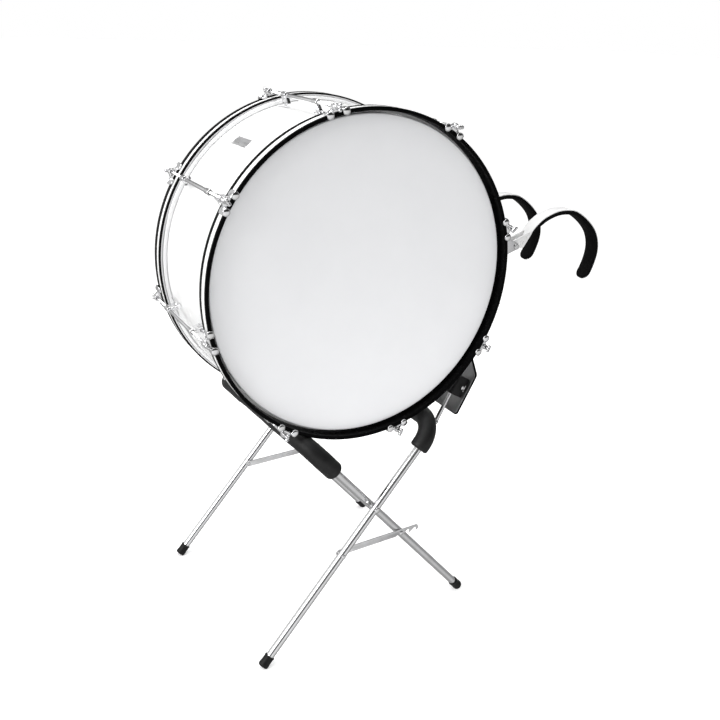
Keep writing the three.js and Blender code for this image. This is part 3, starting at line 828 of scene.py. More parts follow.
def badge():
    """Blank plate curved with the shell, with a raised rim and four small rivets."""
    start_deg, end_deg = 125.8, 129.6
    start_y, end_y = 150.0, 229.5
    half_arc = radians(end_deg - start_deg) / 2 * SHELL_R
    half_y = (end_y - start_y) / 2
    middle_y = (start_y + end_y) / 2
    # distance in from the plate's edge, height above the shell
    steps = ((0, 0.02), (0, 0.6), (0.25, 0.85), (1.1, 0.85), (1.4, 0.55))
    field_height = steps[-1][1]

    def on_shell(arc, y, height):
        """arc and y are measured from the plate's middle."""
        angle = radians((start_deg + end_deg) / 2) + arc / SHELL_R
        radius = SHELL_R + height
        return (radius * cos(angle), middle_y + y, radius * sin(angle))

    corners = [
        (-half_arc, -half_y), (half_arc, -half_y), (half_arc, half_y), (-half_arc, half_y)
    ]
    outline = fillet(corners, 2.2, 5)
    count = len(outline)
    verts = []
    for inset, height in steps:
        loop = outline * ((half_arc - inset) / half_arc, (half_y - inset) / half_y)
        verts += [on_shell(x, y, height) for x, y in loop]
    faces = ring_faces(len(steps), count)
    # the field is a ring of quads round a fan of triangles
    centre = len(verts)
    middle = centre + 1
    verts.append(on_shell(0, 0, field_height))
    verts += [on_shell(x, y, field_height) for x, y in loop * 0.5]
    rim = (len(steps) - 1) * count
    for j in range(count):
        k = (j + 1) % count
        faces.append((rim + j, rim + k, middle + k, middle + j))
        faces.append((middle + j, middle + k, centre))
    faces.append(tuple(range(count))[::-1])

    rivets = []
    for arc in (3.6 - half_arc, half_arc - 3.6):
        for y in (3.6 - half_y, half_y - 3.6):
            rivets.append(rod(on_shell(arc, y, 0.3), on_shell(arc, y, 1.5), 1.3, 16, 0.9))
    return merge((verts, faces), *rivets)


add("shell_plate", badge(), DRUM, "drum", BADGE_METAL)


# ---- tension hardware: y along the rod, z out from the drum's axis --------------------
def claw_mesh():
    """Two fingers with round tips over the hoop and a bridge with a boss round the rod."""
    parts = []
    for side in (-1, 1):
        x = side * 18.5
        tip = [(x + 8.7 * cos(a), 369.6 + 8.7 * sin(a)) for a in np.linspace(pi, 2 * pi, 21)]
        face = tip + [(x + 8.7, 373.6), (x + 6.8, 375.5), (x - 6.8, 375.5), (x - 8.7, 373.6)]
        parts.append(prism(face, -4.4, -0.5, "xz", 1.3))
        parts.append(ball((x, -3.9, 369.6), 8.0, 28, squash=(1.0, 0.3, 1.0)))
        end = [(x + 8.4 * cos(a), 13.4 + 8.4 * sin(a)) for a in np.linspace(0, pi, 17)]
        top = end + [(x - 8.4, -3.0), (x + 8.4, -3.0)]
        parts.append(prism(top, 371.7, 375.4, "xy", 1.2))
    bridge = [
        (-20, 371.9), (20, 371.9), (20, 375.2), (11, 378.0), (-11, 378.0), (-20, 375.2)
    ]
    parts.append(prism(bridge, 2.0, 11.0, "xz", 1.0))
    boss = [(3.75, 1.6), (7.0, 1.6), (7.0, 11.0), (3.75, 11.0)]
    boss = lathe(fillet(boss, [0.4, 1.2, 1.2, 0.4], 3), 40)
    parts.append(moved(boss, (0, 0, ROD_AXIS_R)))
    for side in (-1, 1):
        gusset = [(4.6, 376.0), (13.5, 374.6), (11.0, 379.5), (6.4, 384.0), (5.2, 384.0)]
        gusset = [(side * x, z) for x, z in gusset]
        parts.append(prism(gusset, 2.2, 10.8, "xz", 0.8))
    return fuse(parts, voxel=0.62)


def foot_mesh():
    """A cast lug foot: two tines spread on the shell, rising to a collar round the tube."""
    parts = []
    base = SHELL_R + 0.6
    for side in (-1, 1):
        # x, y, height above the base
        line = [(9.8, 63.5, 3.0), (7.6, 72, 3.3), (4.6, 82, 4.2), (2.0, 95, 7.5)]
        path = catmull([(side * x, y, base + height) for x, y, height in line], 6)
        section = fillet([(-3.4, -3.0), (3.4, -3.0), (3.0, 3.0), (-3.0, 3.0)], 1.5)
        widths = np.linspace(0.86, 1.1, len(path))[:, None]
        parts.append(sweep(path, section, up=(1, 0, 0), scale=widths))
    web = [
        (79, base + 0.3),
        (106, base + 0.3),
        (109, base + 6),
        (107, ROD_AXIS_R - 2),
        (86, ROD_AXIS_R - 2),
        (80, base + 12),
    ]
    parts.append(prism(fillet(web, [1, 2, 6, 2, 2, 4]), -4.4, 4.4, "yz", 1.4))
    collar = [(3.9, 84.3), (7.0, 84.3), (7.0, 106.0), (3.9, 106.0)]
    collar = lathe(fillet(collar, [0.5, 1.6, 1.6, 0.5]), 40)
    parts.append(moved(collar, (0, 0, ROD_AXIS_R)))
    sole = fillet([(-6.2, 84), (6.2, 84), (5.2, 108), (-5.2, 108)], 2.5)
    parts.append(prism(sole, base, base + 5, "xy", 1.2))
    return fuse(parts, voxel=0.66)


def lug():
    """Two cast feet joined by a tube round the rod."""
    foot = part_of(foot_mesh())
    tube = [(3.7, 100.0), (4.9, 100.0), (4.9, DEPTH - 100), (3.7, DEPTH - 100)]
    tube = lathe(fillet(tube, [0.2, 0.6, 0.6, 0.2], 3), 40)
    return merge(foot, mirror_y(foot), moved(tube, (0, 0, ROD_AXIS_R)))


def tension_rod():
    """Rod with a thread on both sides of its middle and a collar near each end."""
    segments = 24
    thread_start, thread_end = 26.0, 84.0
    thread_depth, pitch = 0.42, 1.0
    # start y, end y, stations, threaded
    stretches = (
        (-HANDLE_OUT, thread_start, 4, False),
        (thread_start, thread_end, 300, True),
        (thread_end, DEPTH - thread_end, 2, False),
        (DEPTH - thread_end, DEPTH - thread_start, 300, True),
        (DEPTH - thread_start, DEPTH + HANDLE_OUT, 4, False),
    )
    stations = []
    for start, end, count, threaded in stretches:
        stations += [(start + (end - start) * k / count, threaded) for k in range(count)]
    stations.append((DEPTH + HANDLE_OUT, False))
    turn = np.arange(segments) * 2 * pi / segments
    rings = []
    for y, threaded in stations:
        radius = np.full(segments, ROD_R - 0.05)
        if threaded:
            phase = (y / pitch - turn / (2 * pi)) % 1.0
            radius = ROD_R - thread_depth + thread_depth * (1 - np.abs(2 * phase - 1))
        ys = np.full(segments, y)
        rings.append(np.stack([radius * np.sin(turn), ys, radius * np.cos(turn)], -1))
    shaft = (np.concatenate(rings), capped_faces(len(stations), segments))
    collar = [(2.6, -3.4), (4.2, -3.4), (6.0, -1.6), (6.0, 0.6), (5.2, 1.5), (2.6, 1.5)]
    collars = [lathe(fillet(profile, 0.5, 3), 36) for profile in (collar, flip(collar))]
    return moved(merge(shaft, *collars), (0, 0, ROD_AXIS_R))


def handle(y, facing, turn_deg):
    """T handle: a waisted bar with ball-shaped ends, and a neck towards facing along Y."""
    # radius, distance along the bar
    half = [
        (0.0, -9.0), (2.4, -8.7), (3.9, -7.5), (4.3, -5.9),
        (4.2, -4.4), (3.8, -3.0), (3.7, -1.6), (3.8, 0.0),
    ]
    profile = half + [(r, -along) for r, along in half[-2::-1]]
    bar, bar_faces = lathe(catmull(profile, 3), 28)
    bar = bar[:, [0, 2, 1]]
    hub = ball((0, 0, 0), 4.7, 24, squash=(1.05, 0.9, 1.15))
    neck = [(2.5, 2.4), (4.2, 2.4), (4.5, 5.0), (4.9, 9.6), (2.5, 9.6)]
    neck = lathe(fillet(neck, [0.3, 0.8, 1.5, 0.8, 0.3]), 32)
    if facing < 0:
        neck = mirror_y(neck, 0.0)
    return moved(merge((bar, bar_faces), hub, neck), (0, y, ROD_AXIS_R), turn_deg)


front_claw = to_mesh("claw_cast", claw_mesh(), 60)
back_claw = front_claw.copy()
back_claw.name = "claw_cast_back"
back_claw.transform(
    Matrix.Translation((0, DEPTH * MM, 0)) @ Matrix.Scale(-1, 4, (0, 1, 0))
)
back_claw.flip_normals()
lug_cast = to_mesh("lug_cast", lug(), 55)
rod_turned = to_mesh("rod_turned", tension_rod(), 40)
for i in range(LINES):
    place = DRUM @ turned(90.0 - (FIRST_LINE_DEG - 360.0 / LINES * i))
    number = str(i + 1)
    rod_name = "tension_rod_" + number
    # name, mesh, body, node it replaces
    for name, mesh, body, node in (
        ("claw_front_", front_claw, "drum", "front_claw_" + number),
        ("claw_back_", back_claw, "drum", "back_claw_" + number),
        ("lug_cast_", lug_cast, "drum", "lug_" + number),
        ("rod_turned_", rod_turned, rod_name, rod_name),
    ):
        add_mesh(name + number, mesh, place, body, CHROME, node)
    turn_deg = HANDLE_TURN_DEG[i]
    handles = merge(
        handle(-HANDLE_OUT, 1, turn_deg), handle(DEPTH + HANDLE_OUT, -1, -turn_deg)
    )
    add("rod_handles_" + number, handles, place, rod_name, CHROME)


# ---- stand ----------------------------------------------------------------------------
def frame_path(width, bottom, arc_steps=20, leg_steps=14):
    """An upside-down U in the YZ plane, its legs starting at z = bottom."""
    half = width / 2
    bend_z = LEG_UP - BEND_R
    path = [(0, -half, bottom + (bend_z - bottom) * k / leg_steps) for k in range(leg_steps)]
    for i in range(arc_steps + 1):
        angle = i / arc_steps * pi / 2
        path.append((0, -half + BEND_R - BEND_R * cos(angle), bend_z + BEND_R * sin(angle)))
    span = width - 2 * BEND_R
    top = [(0, -half + BEND_R + span * k / 24, LEG_UP) for k in range(1, 24)]
    return np.array(path + top + [(x, -y, z) for x, y, z in path[::-1]])


def frame_tube(width):
    path = frame_path(width, -LEG_DOWN)
    return sweep(path, ring(TUBE_R, 48), up=(1, 0, 0), bore=ring(TUBE_R - 1.5, 48))


def cross_pin(side, start, end, z, radius, rounding, segments=28):
    """Round pin along Y; start and end are distances towards side."""
    return rod((0, side * start, z), (0, side * end, z), radius, segments, rounding)


def outer_frame():
    """Tube with a headed stub on each leg that a strut turns on."""
    parts = [frame_tube(OUTER_WIDTH)]
    outside = OUTER_Y + TUBE_R
    for side in (-1, 1):
        z = -STRUT_DOWN
        parts.append(cross_pin(side, OUTER_Y - 1, STRUT_Y - 1.5, z, 4.0, 0.5))
        parts.append(dome(side * (outside - 0.7), side * (outside + 1.6), 5.2, z=z))
        shoulder_end = OUTER_Y - TUBE_R + 1.0
        parts.append(cross_pin(side, STRUT_Y + 1.5, shoulder_end, z, 5.6, 0.4))
    return merge(*parts)


def inner_frame():
    """Tube with the two pivot pins and a headed stud on each leg for a strut's notches."""
    parts = [frame_tube(INNER_WIDTH)]
    outside, inside = OUTER_Y + TUBE_R, INNER_Y - TUBE_R
    gap_start, gap_end = INNER_Y + TUBE_R, OUTER_Y - TUBE_R
    for side in (-1, 1):
        # pivot pin, its outer head, the washer between the legs, its inner head
        parts.append(cross_pin(side, inside + 1, outside + 1.2, 0, 4.2, 0.3))
        parts.append(dome(side * (outside + 0.8), side * (outside + 3.4), 7.0))
        parts.append(cross_pin(side, gap_start - 0.8, gap_end - 0.5, 0, 7.4, 0.5, 32))
        parts.append(dome(side * (inside + 0.4), side * (inside - 1.6), 6.0))
        # stud and its head
        z = -STRUT_DOWN
        parts.append(cross_pin(side, gap_start - 1, STRUT_Y + 2.6, z, 4.0, 0.3))
        parts.append(dome(side * (STRUT_Y + 2.0), side * (STRUT_Y + 4.4), 5.6, z=z))
    return merge(*parts)


add("outer_tube", outer_frame(), OUTER, "outer_frame", TUBE_CHROME, "outer_frame")
add("inner_tube", inner_frame(), INNER, "inner_frame", TUBE_CHROME, "inner_frame")


def clear_hoops(verts, matrix):
    """Pushes foam out from both hoops of the drum, with a soft return beside them."""
    to_drum = np.array(DRUM.inverted() @ matrix, float)
    back = np.linalg.inv(to_drum)
    seen = verts * MM @ to_drum[:3, :3].T + to_drum[:3, 3]
    radius = np.hypot(seen[:, 0], seen[:, 2])
    y = seen[:, 1] / MM
    half = HOOP_WIDTH / 2
    away = np.minimum(np.abs(y - half), np.abs(y - (DEPTH - half))) - half
    reach = 16.0
    soft = np.clip(away / reach, 0, 1)
    least = (HOOP_OUTER_R + 0.5 - 6.0 * soft**2 * (3 - 2 * soft)) * MM
    near = (away < reach) & (radius < least)
    grow = np.where(near, least / np.maximum(radius, 1e-6), 1.0)
    seen[:, 0] *= grow
    seen[:, 2] *= grow
    return (seen @ back[:3, :3].T + back[:3, 3]) / MM


def sleeve(width, bottom, phase, matrix):
    """Foam sleeve: soft rounded ends, gentle swells, creases inside its two bends."""
    segments = 56
    path = frame_path(width, bottom, arc_steps=26, leg_steps=10)
    lengths = arc_lengths(path)
    total = lengths[-1]
    # close stations at both ends carry the rounded lip
    lip_at = np.array([0.0, 0.4, 1.1, 2.1, 3.4, 5.0, 7.0])
    at = np.unique(np.concatenate([lip_at, total - lip_at, np.linspace(9, total - 9, 190)]))
    path = interpolate(path, lengths, at)
    lip = 6.0
    edge = np.sqrt(1 - (1 - np.clip(np.minimum(at, total - at) / lip, 0, 1)) ** 2)

    side, lift = frames(path, (1, 0, 0))
    out = offsets(ring(1.0, segments), side, lift)
    # the inside of a bend faces the middle of the frame
    across = path[:, 1]
    inward = unit(np.stack([0 * across, -np.sign(across), -np.ones(len(at))], -1))
    facing = (out * inward[:, None]).sum(-1)
    leg, bend = LEG_UP - BEND_R - bottom, BEND_R * pi / 2
    near_bend = 0.0
    for middle in (leg + bend / 2, total - leg - bend / 2):
        near_bend = near_bend + np.exp(-(((at - middle) / (bend * 0.36)) ** 2))

    swell = 0.35 * np.sin(at / 37.0 + phase) + 0.25 * np.sin(at / 14.3 + 2.1 * phase)
    base = SLEEVE_R - lip + lip * edge + (swell - 0.55) * edge
    crease = 0.5 + 0.5 * np.cos(at / 8.6 * 2 * pi + phase)
    crease_depth = near_bend * (0.5 + 1.5 * crease) * edge
    radius = base[:, None] - crease_depth[:, None] * np.clip(facing, 0, 1) ** 2
    radius = radius - 0.35 * near_bend[:, None] * np.clip(-facing, 0, 1) ** 2
    radius = np.minimum(radius, SLEEVE_R)
    outer = (path[:, None] + out * radius[..., None]).reshape(-1, 3)
    inner = (path[:, None] + out * SLEEVE_BORE_R).reshape(-1, 3)
    verts = np.concatenate([clear_hoops(outer, matrix), inner])
    return verts, tube_faces(len(at), segments)


# side, width, matrix, bottom of the sleeve, phase of its swells
for side, width, matrix, bottom, phase in (
    ("outer", OUTER_WIDTH, OUTER, 172, 0.4),
    ("inner", INNER_WIDTH, INNER, 150, 1.9),
):
    body = side + "_frame"
    part = sleeve(width, bottom, phase, matrix)
    add(side + "_sleeve", part, matrix, body, FOAM, body + "_pad", angle=70)


def rubber_foot(leg_y, matrix):
    """Rubber cap with a rolled top lip, a shallow waist and a sole cut level with the floor."""
    cap_top = -411.5
    # r, distance below the cap's top, corner radius
    corners = [
        (9.7, 0.0, 0.6), (12.2, 0.0, 0.9), (12.2, 3.0, 0.8), (11.6, 4.4, 0.8),
        (11.6, 16.0, 3.0), (12.2, 20.0, 3.0), (12.2, 29.0, 3.2), (0.0, 29.0, 0),
        (0.0, 25.0, 0), (9.7, 25.0, 0.5),
    ]
    profile = fillet([(r, y) for r, y, _ in corners], [radius for _, _, radius in corners])
    verts, faces = lathe(profile, 48)
    # the lathe's axis is laid down along the leg
    verts = np.stack([verts[:, 0], verts[:, 2] + leg_y, cap_top - verts[:, 1]], -1)
    mesh = tidy((verts, faces))
    mesh.transform(Matrix.Scale(MM, 4))
    mesh.transform(matrix)
    with editing(mesh) as shape:
        bmesh.ops.bisect_plane(
            shape,
            geom=[*shape.verts, *shape.edges, *shape.faces],
            dist=1e-6,
            plane_co=(0, 0, 0),
            plane_no=(0, 0, -1),
            clear_outer=True,
        )
        rim = [edge for edge in shape.edges if len(edge.link_faces) == 1]
        bmesh.ops.holes_fill(shape, edges=rim, sides=0)
    shade(mesh, 35)
    return mesh


for frame, leg_y, matrix in (("outer", OUTER_Y, OUTER), ("inner", INNER_Y, INNER)):
    for side, y in (("_front", -leg_y), ("_back", leg_y)):
        name = frame + side
        cap = rubber_foot(y, matrix)
        identity = Matrix.Identity(4)
        add_mesh(name + "_cap", cap, identity, frame + "_frame", RUBBER, name + "_foot")


def strut_mesh():
    """Flat bar along x from its pin's hole, with three notches in its lower edge."""
    reach = 2 * STRUT_DOWN * sin(radians(LEAN_DEG))  # to the stud on the other frame
    half, rise, end = 8.0, 2.5, 224.0  # half height, rise at the far end, length
    notch = 4.7  # half width of a notch

    def top(x):
        return x / end * rise + half

    def low(x):
        return x / end * rise - half

    # x, z, corner radius
    corners = []
    for k in range(9):
        angle = pi / 2 + pi * k / 8
        corners.append((half * cos(angle), half * sin(angle), 0.0))
    for n in range(3):
        x = reach + n * 20
        corners += [
            (x - 14.5, low(x - 14.5), 1.6),
            (x - 3.4, 3.6, 2.0),
            (x + 1.5, notch + 0.3, 2.6),
            (x + notch, 2.2, 1.4),
            (x + notch, low(x + notch), 1.6),
        ]
    corners += [
        (end, low(end) + 3, 1.5),
        (end + 2.5, rise, 1.5),
        (end, top(end) - 2, 1.5),
        (end - 3, top(end), 1.5),
    ]
    outline = fillet([(x, z) for x, z, _ in corners], [radius for _, _, radius in corners])
    return prism(outline, -1.2, 1.2, "xz", 0.35, [hole(4.6, 28)], bevel_steps=2)


for name, y in (("front", -STRUT_Y), ("back", STRUT_Y)):
    strut = strut_mesh()
    lean = radians(LEAN_DEG)
    strut.transform(Matrix.Translation((-STRUT_DOWN * sin(lean), y, -STRUT_DOWN * cos(lean))))
    node = name + "_strut"
    add(name + "_notched_strut", strut, STAND, node, STRUT_STEEL, node)


# ---- carrier bars ---------------------------------------------------------------------
def in_carrier(x, z):
    """An upright point from the drum's axis, in the carrier's own axes."""
    tilt_cos, tilt_sin = cos(radians(TILT_DEG)), sin(radians(TILT_DEG))
    return (x * tilt_cos - z * tilt_sin, x * tilt_sin + z * tilt_cos)


def hanger(start, end):
    """Flat hook between a hoop and the crossbar."""

    def polar(radius, degrees):
        return in_carrier(radius * cos(radians(degrees)), radius * sin(radians(degrees)))

    outline = [
        polar(372.3, 11.3),
        polar(372.2, 8.0),
        polar(372.3, 4.5),
        polar(380, 2.7),
        in_carrier(CROSS_X, CROSS_Z - 8),
        in_carrier(CROSS_X + 7, CROSS_Z),
        in_carrier(CROSS_X + 3, CROSS_Z + 8),
        polar(389.8, 9.0),
        polar(384, 11.3),
    ]
    return prism(fillet(outline, [1.5, 0, 1.5, 3, 5, 4, 5, 6, 3]), start, end, "xz", 1.1)


def carrier_bars():
    """Crossbar, spine, top bar and two long bars, with two hangers at the hoops."""
    cross_x, cross_z = in_carrier(CROSS_X, CROSS_Z)
    spine_r = CROSS_R - 0.6

    def cross(start, end, radius, segments, rounding):
        ends = (cross_x, start, cross_z), (cross_x, end, cross_z)
        return rod(*ends, radius, segments, rounding)

    def top(start, end, radius, segments, rounding):
        ends = (BAR_TOP, start, BAR_OUT), (BAR_TOP, end, BAR_OUT)
        return rod(*ends, radius, segments, rounding)

    spine = (cross_x, SPINE_Y, cross_z), (BAR_TOP, SPINE_Y, BAR_OUT)
    socket_ends = (SPINE_Y - 16, SPINE_Y + 16)
    parts = [
        cross(*CROSS_Y, CROSS_R, 40, 1.6),
        rod(*spine, spine_r, 36, 0.5),
        cross(*socket_ends, 9.2, 40, 1.6),
        top(*BAR_YS, spine_r, 36, 0.5),
        top(*socket_ends, 9.2, 40, 1.6),
    ]
    for y in BAR_YS:
        parts.append(rod((BAR_TOP, y, BAR_OUT), (BAR_END, y, BAR_OUT), BAR_R, 32, 0.5))
        parts.append(ball((BAR_END, y, BAR_OUT), 7.1, 28))
        parts.append(ball((BAR_TOP, y, BAR_OUT), 8.2, 28))
        ferrule = (BAR_TOP + 5, y, BAR_OUT), (BAR_TOP + 22, y, BAR_OUT)
        parts.append(rod(*ferrule, 7.0, 32, 1.2))
    hanger_ys = ((23, 31), (DEPTH - 31, DEPTH - 23))
    parts += [hanger(*ys) for ys in hanger_ys]
    rivet_x, rivet_z = in_carrier(380.0, 52.0)
    for ys in hanger_ys:
        for y, facing in zip(ys, (-1, 1)):
            start, end = y - facing * 0.2, y + facing * 1.8
            parts.append(dome(start, end, 4.2, rivet_x, rivet_z))
    return merge(*parts)


add("carrier_bars", carrier_bars(), CARRIER, "drum", CARRIER_CHROME, "carrier_frame")

# ---- shoulder hooks, drawn in the drum's upright axes ---------------------------------
# x, z of the band's middle line, from its bracket over the shoulder
HOOK_LINE = [
    (457, 55), (474, 76), (495, 93), (518, 104), (547, 111.5), (578, 111.5), (603, 106),
    (635, 87), (664, 61), (680, 35), (686.5, 8), (684, -20), (672, -54), (657, -76),
]
BAND_HALF, PAD_HALF = 17.7, 19.4  # half widths
# distances from a round tip at which stations are set
TIP_AT = np.array([0, 0.25, 0.9, 2.0, 3.5, 5.4, 7.7, 10.2, 13.0, 16.0, 19.0, 22.0])


def hook_path():
    return catmull([(x, 0, z) for x, z in HOOK_LINE])


def inward_of(path):
    """Unit vectors towards the inside of the hook, in x and z."""
    along = tangents(path)
    return np.stack([along[:, 2], np.zeros(len(along)), -along[:, 0]], -1)


def strip(path, radius, both):
    """Stations, points, length and half widths of a strip with a round tip.

    both rounds the first end too."""
    lengths = arc_lengths(path)
    total = lengths[-1]
    at = np.concatenate([lengths[lengths < total - radius], total - TIP_AT])
    if both:
        at = np.concatenate([at[at > radius], TIP_AT])
    at = np.unique(np.round(at, 4))
    widths = np.full(len(at), radius, float)
    for to_end in (total - at, at) if both else (total - at,):
        near = to_end < radius
        arc = radius * radius - (radius - to_end[near]) ** 2
        widths[near] = np.sqrt(np.maximum(arc, 0.3))
    return at, interpolate(path, lengths, at), total, widths


def band():
    at, path, _, widths = strip(hook_path(), BAND_HALF, both=False)
    corners = [(-BAND_HALF, -1.4), (BAND_HALF, -1.4), (BAND_HALF, 1.4), (-BAND_HALF, 1.4)]
    scale = np.stack([widths / BAND_HALF, np.ones(len(at))], -1)
    return sweep(path, fillet(corners, 1.1), scale=scale)


def bracket(side):
    """Two cheeks and a web under the band, round a loop on the crossbar."""
    middle = side * 3
    front, back = middle - 13.0, middle + 13.0
    profile = [(7.7, front), (11.2, front), (11.2, back), (7.7, back)]
    loop = lathe(fillet(profile, [0.6, 1.4, 1.4, 0.6]), 48)
    parts = [moved(loop, (CROSS_X, 0, CROSS_Z))]
    cheek = [
        (CROSS_X + 1, CROSS_Z + 10.8),
        (CROSS_X + 8, CROSS_Z - 7.8),
        (444, 27.6),
        (468, 63),
        (459, 65.4),
    ]
    cheek = fillet(cheek, [1, 4, 6, 2, 2], 5)
    slot = fillet([(426, 34), (438, 36), (447, 47), (434, 45)], 3.0, 5)
    for start, end in ((front, middle - 9.4), (middle + 9.4, back)):
        parts.append(prism(cheek, start, end, "xz", 0.8, [slot]))
    web = [
        (CROSS_X + 9, CROSS_Z - 8.2),
        (444, 27.8),
        (468, 63),
        (464.6, 64),
        (441.5, 31),
        (CROSS_X + 10, CROSS_Z - 4.6),
    ]
    web = fillet(web, [0.6, 5, 1, 1, 4, 0.6], 5)
    parts.append(prism(web, middle - 12, middle + 12, "xz", 0.5))
    for y, facing in ((front, -1), (back, 1)):
        parts.append(dome(y - facing * 0.2, y + facing * 1.7, 3.6, 454.0, 53.5))
    return merge(*parts)


def inflate(verts, faces, pinned, largest, stiffness):
    """Blows a pad up as cloth with its pinned side held.

    The cloth is ten times real size, so that the solver is well conditioned, and its
    movement is scaled so that the largest is at most largest mm."""
    size = 0.01
    last_frame = 20
    mesh = new_mesh("cloth", verts * size, faces)
    with editing(mesh):
        pass  # only turns the faces outwards
    cloth = bpy.data.objects.new("cloth", mesh)
    bpy.context.scene.collection.objects.link(cloth)
    group = cloth.vertex_groups.new(name="pin")
    group.add([int(i) for i in np.nonzero(pinned)[0]], 1.0, "REPLACE")
    modifier = cloth.modifiers.new("cloth", "CLOTH")
    settings = modifier.settings
    settings.quality = 6
    settings.mass = 0.4
    settings.tension_stiffness = stiffness
    settings.compression_stiffness = stiffness
    settings.shear_stiffness = stiffness * 0.5
    settings.bending_stiffness = 1.5
    settings.use_pressure = True
    settings.uniform_pressure_force = 4.0
    settings.vertex_group_mass = "pin"
    settings.effector_weights.gravity = 0.0
    modifier.point_cache.frame_start = 1
    modifier.point_cache.frame_end = last_frame
    for frame in range(1, last_frame + 1):
        bpy.context.scene.frame_set(frame)
    evaluated = cloth.evaluated_get(bpy.context.evaluated_depsgraph_get())
    settled = coordinates(evaluated.to_mesh())
    evaluated.to_mesh_clear()
    bpy.data.objects.remove(cloth)
    bpy.context.scene.frame_set(1)
    movement = settled / size - verts
    farthest = np.linalg.norm(movement, axis=1).max()
    # a cloth that blew apart or never moved leaves the pad as drawn
    if not np.isfinite(farthest) or farthest < 1e-6:
        return verts
    return verts + movement * min(largest / farthest, 4.0)


def shoulder_pad():
    """Padded strip with round tips on the band's inner side, and the line of its binding."""
    line = hook_path()
    line = line + inward_of(line) * 2.0
    lengths = arc_lengths(line)
    line = line[lengths >= lengths[8] + 1.0]
    at, path, total, widths = strip(line, PAD_HALF, both=True)
    inward = inward_of(path)
    near = at < PAD_HALF
    widths[near] = np.maximum(widths[near], PAD_HALF * 0.86)
    rows, columns = len(at), 17
    across = np.sin(np.linspace(-pi / 2, pi / 2, columns))
    verts, top, bottom = [], {}, {}
    for i in range(rows):
        edge = np.clip(min(at[i], total - at[i]) / 9.0, 0, 1)
        for j in range(columns):
            crown = sqrt(max(0.0, 1 - abs(across[j]) ** 5)) * sqrt(1 - (1 - edge) ** 2)
            base = path[i] + np.array([0, across[j] * widths[i], 0])
            bottom[i, j] = len(verts)
            verts.append(base + inward[i] * 0.2)
            top[i, j] = len(verts)
            verts.append(base + inward[i] * (7.0 + 2.8 * crown))
    faces = []
    for i in range(rows - 1):
        for j in range(columns - 1):
            cell = ((i, j), (i + 1, j), (i + 1, j + 1), (i, j + 1))
            faces.append(tuple(top[corner] for corner in cell))
            faces.append(tuple(bottom[cell[k]] for k in (0, 3, 2, 1)))
    rim = [(i, 0) for i in range(rows)] + [(rows - 1, j) for j in range(1, columns)]
    rim += [(i, columns - 1) for i in range(rows - 2, -1, -1)]
    rim += [(0, j) for j in range(columns - 2, 0, -1)]
    for here, after in zip(rim, rim[1:] + rim[:1]):
        faces.append((top[here], bottom[here], bottom[after], top[after]))
    verts = np.array(verts)
    pinned = np.zeros(len(verts), bool)
    pinned[list(bottom.values())] = True
    blown = inflate(verts, faces, pinned, largest=1.3, stiffness=18.0)
    # a sewn channel runs along the pad near each side
    for (i, j), k in top.items():
        off_channel = abs(abs(across[j]) * PAD_HALF - 13.4)
        depth = max(0.0, 1 - off_channel / 3.0) if widths[i] > 15 else 0.0
        verts[k] = blown[k] - inward[i] * depth
    binding = [verts[bottom[key]] * 0.18 + verts[top[key]] * 0.82 for key in rim]
    return (verts, faces), np.array(binding)


def piping(loop, radius):
    """Round piping along a closed loop."""
    points = np.asarray(loop, float)
    gaps = np.linalg.norm(np.diff(np.vstack([points, points[:1]]), axis=0), axis=1)
    points = points[gaps > 0.15]
    along = unit(np.roll(points, -1, 0) - np.roll(points, 1, 0))
    # each frame is the last one carried on with the least twist
    carried = np.array([0.3, 0.2, 1.0])
    sides = []
    for tangent in (*along, along[0]):
        carried = carried - (carried @ tangent) * tangent
        carried = carried / np.linalg.norm(carried)
        sides.append(carried)
    back_at_start = sides.pop()
    side = np.array(sides)
    lift = np.cross(along, side)
    segments = 10
    verts = points[:, None] + offsets(ring(radius, segments), side, lift)
    # the last ring joins the first one turned by the twist that is left over
    twist = math.atan2(back_at_start @ lift[0], back_at_start @ side[0])
    shift = int(round(twist / (2 * pi) * segments))
    faces = ring_faces(len(points), segments)
    last = (len(points) - 1) * segments
    for j in range(segments):
        k = (j + 1) % segments
        faces.append((last + j, last + k, (k + shift) % segments, (j + shift) % segments))
    return verts.reshape(-1, 3), faces


pad, pad_binding = shoulder_pad()
# name, y, side the bracket is set off to, droop in degrees, width factor of the pad
for name, y, side, droop_deg, widen in (
    ("front", 52.5, -1, 0, 1),
    ("back", 280.0, 1, 1.5, 1.12),
):
    body = name + "_shoulder_hook"
    place = DRUM @ Matrix.Translation((CROSS_X * MM, y * MM, CROSS_Z * MM))
    place = place @ turned(droop_deg)
    place = place @ Matrix.Translation((-CROSS_X * MM, 0, -CROSS_Z * MM))
    add(name + "_hook_band", merge(band(), bracket(side)), place, body, BAND_WHITE, body)
    wide = np.array([1, widen, 1])
    cushion = (pad[0] * wide, pad[1])
    node = name + "_shoulder_pad"
    add(name + "_hook_pad", cushion, place, body, PAD_FABRIC, node, angle=60)
    cord = piping(pad_binding * wide, 1.1)
    add(name + "_hook_binding", cord, place, body, PAD_FABRIC, angle=80)

# ---- belly plate, in carrier axes -----------------------------------------------------
PLATE_X, PLATE_Y = (33.0, 203.0), (39.0, 309.0)
CHAMFER_X, CHAMFER_Y = 62.0, 86.0
PLATE_OUT, PLATE_THICK = 430.0, 2.6


def plate_outline(grow=0.0):
    """Rectangle with its two upper corners cut off."""
    left, right = PLATE_X[0] - grow, PLATE_X[1] + grow
    low, high = PLATE_Y[0] - grow, PLATE_Y[1] + grow
    corners = [
        (left, low + CHAMFER_Y),
        (left + CHAMFER_X, low),
        (right, low),
        (right, high),
        (left + CHAMFER_X, high),
        (left, high - CHAMFER_Y),
    ]
    return fillet(corners, [14, 14, 8.0, 8.0, 14, 14], 6)


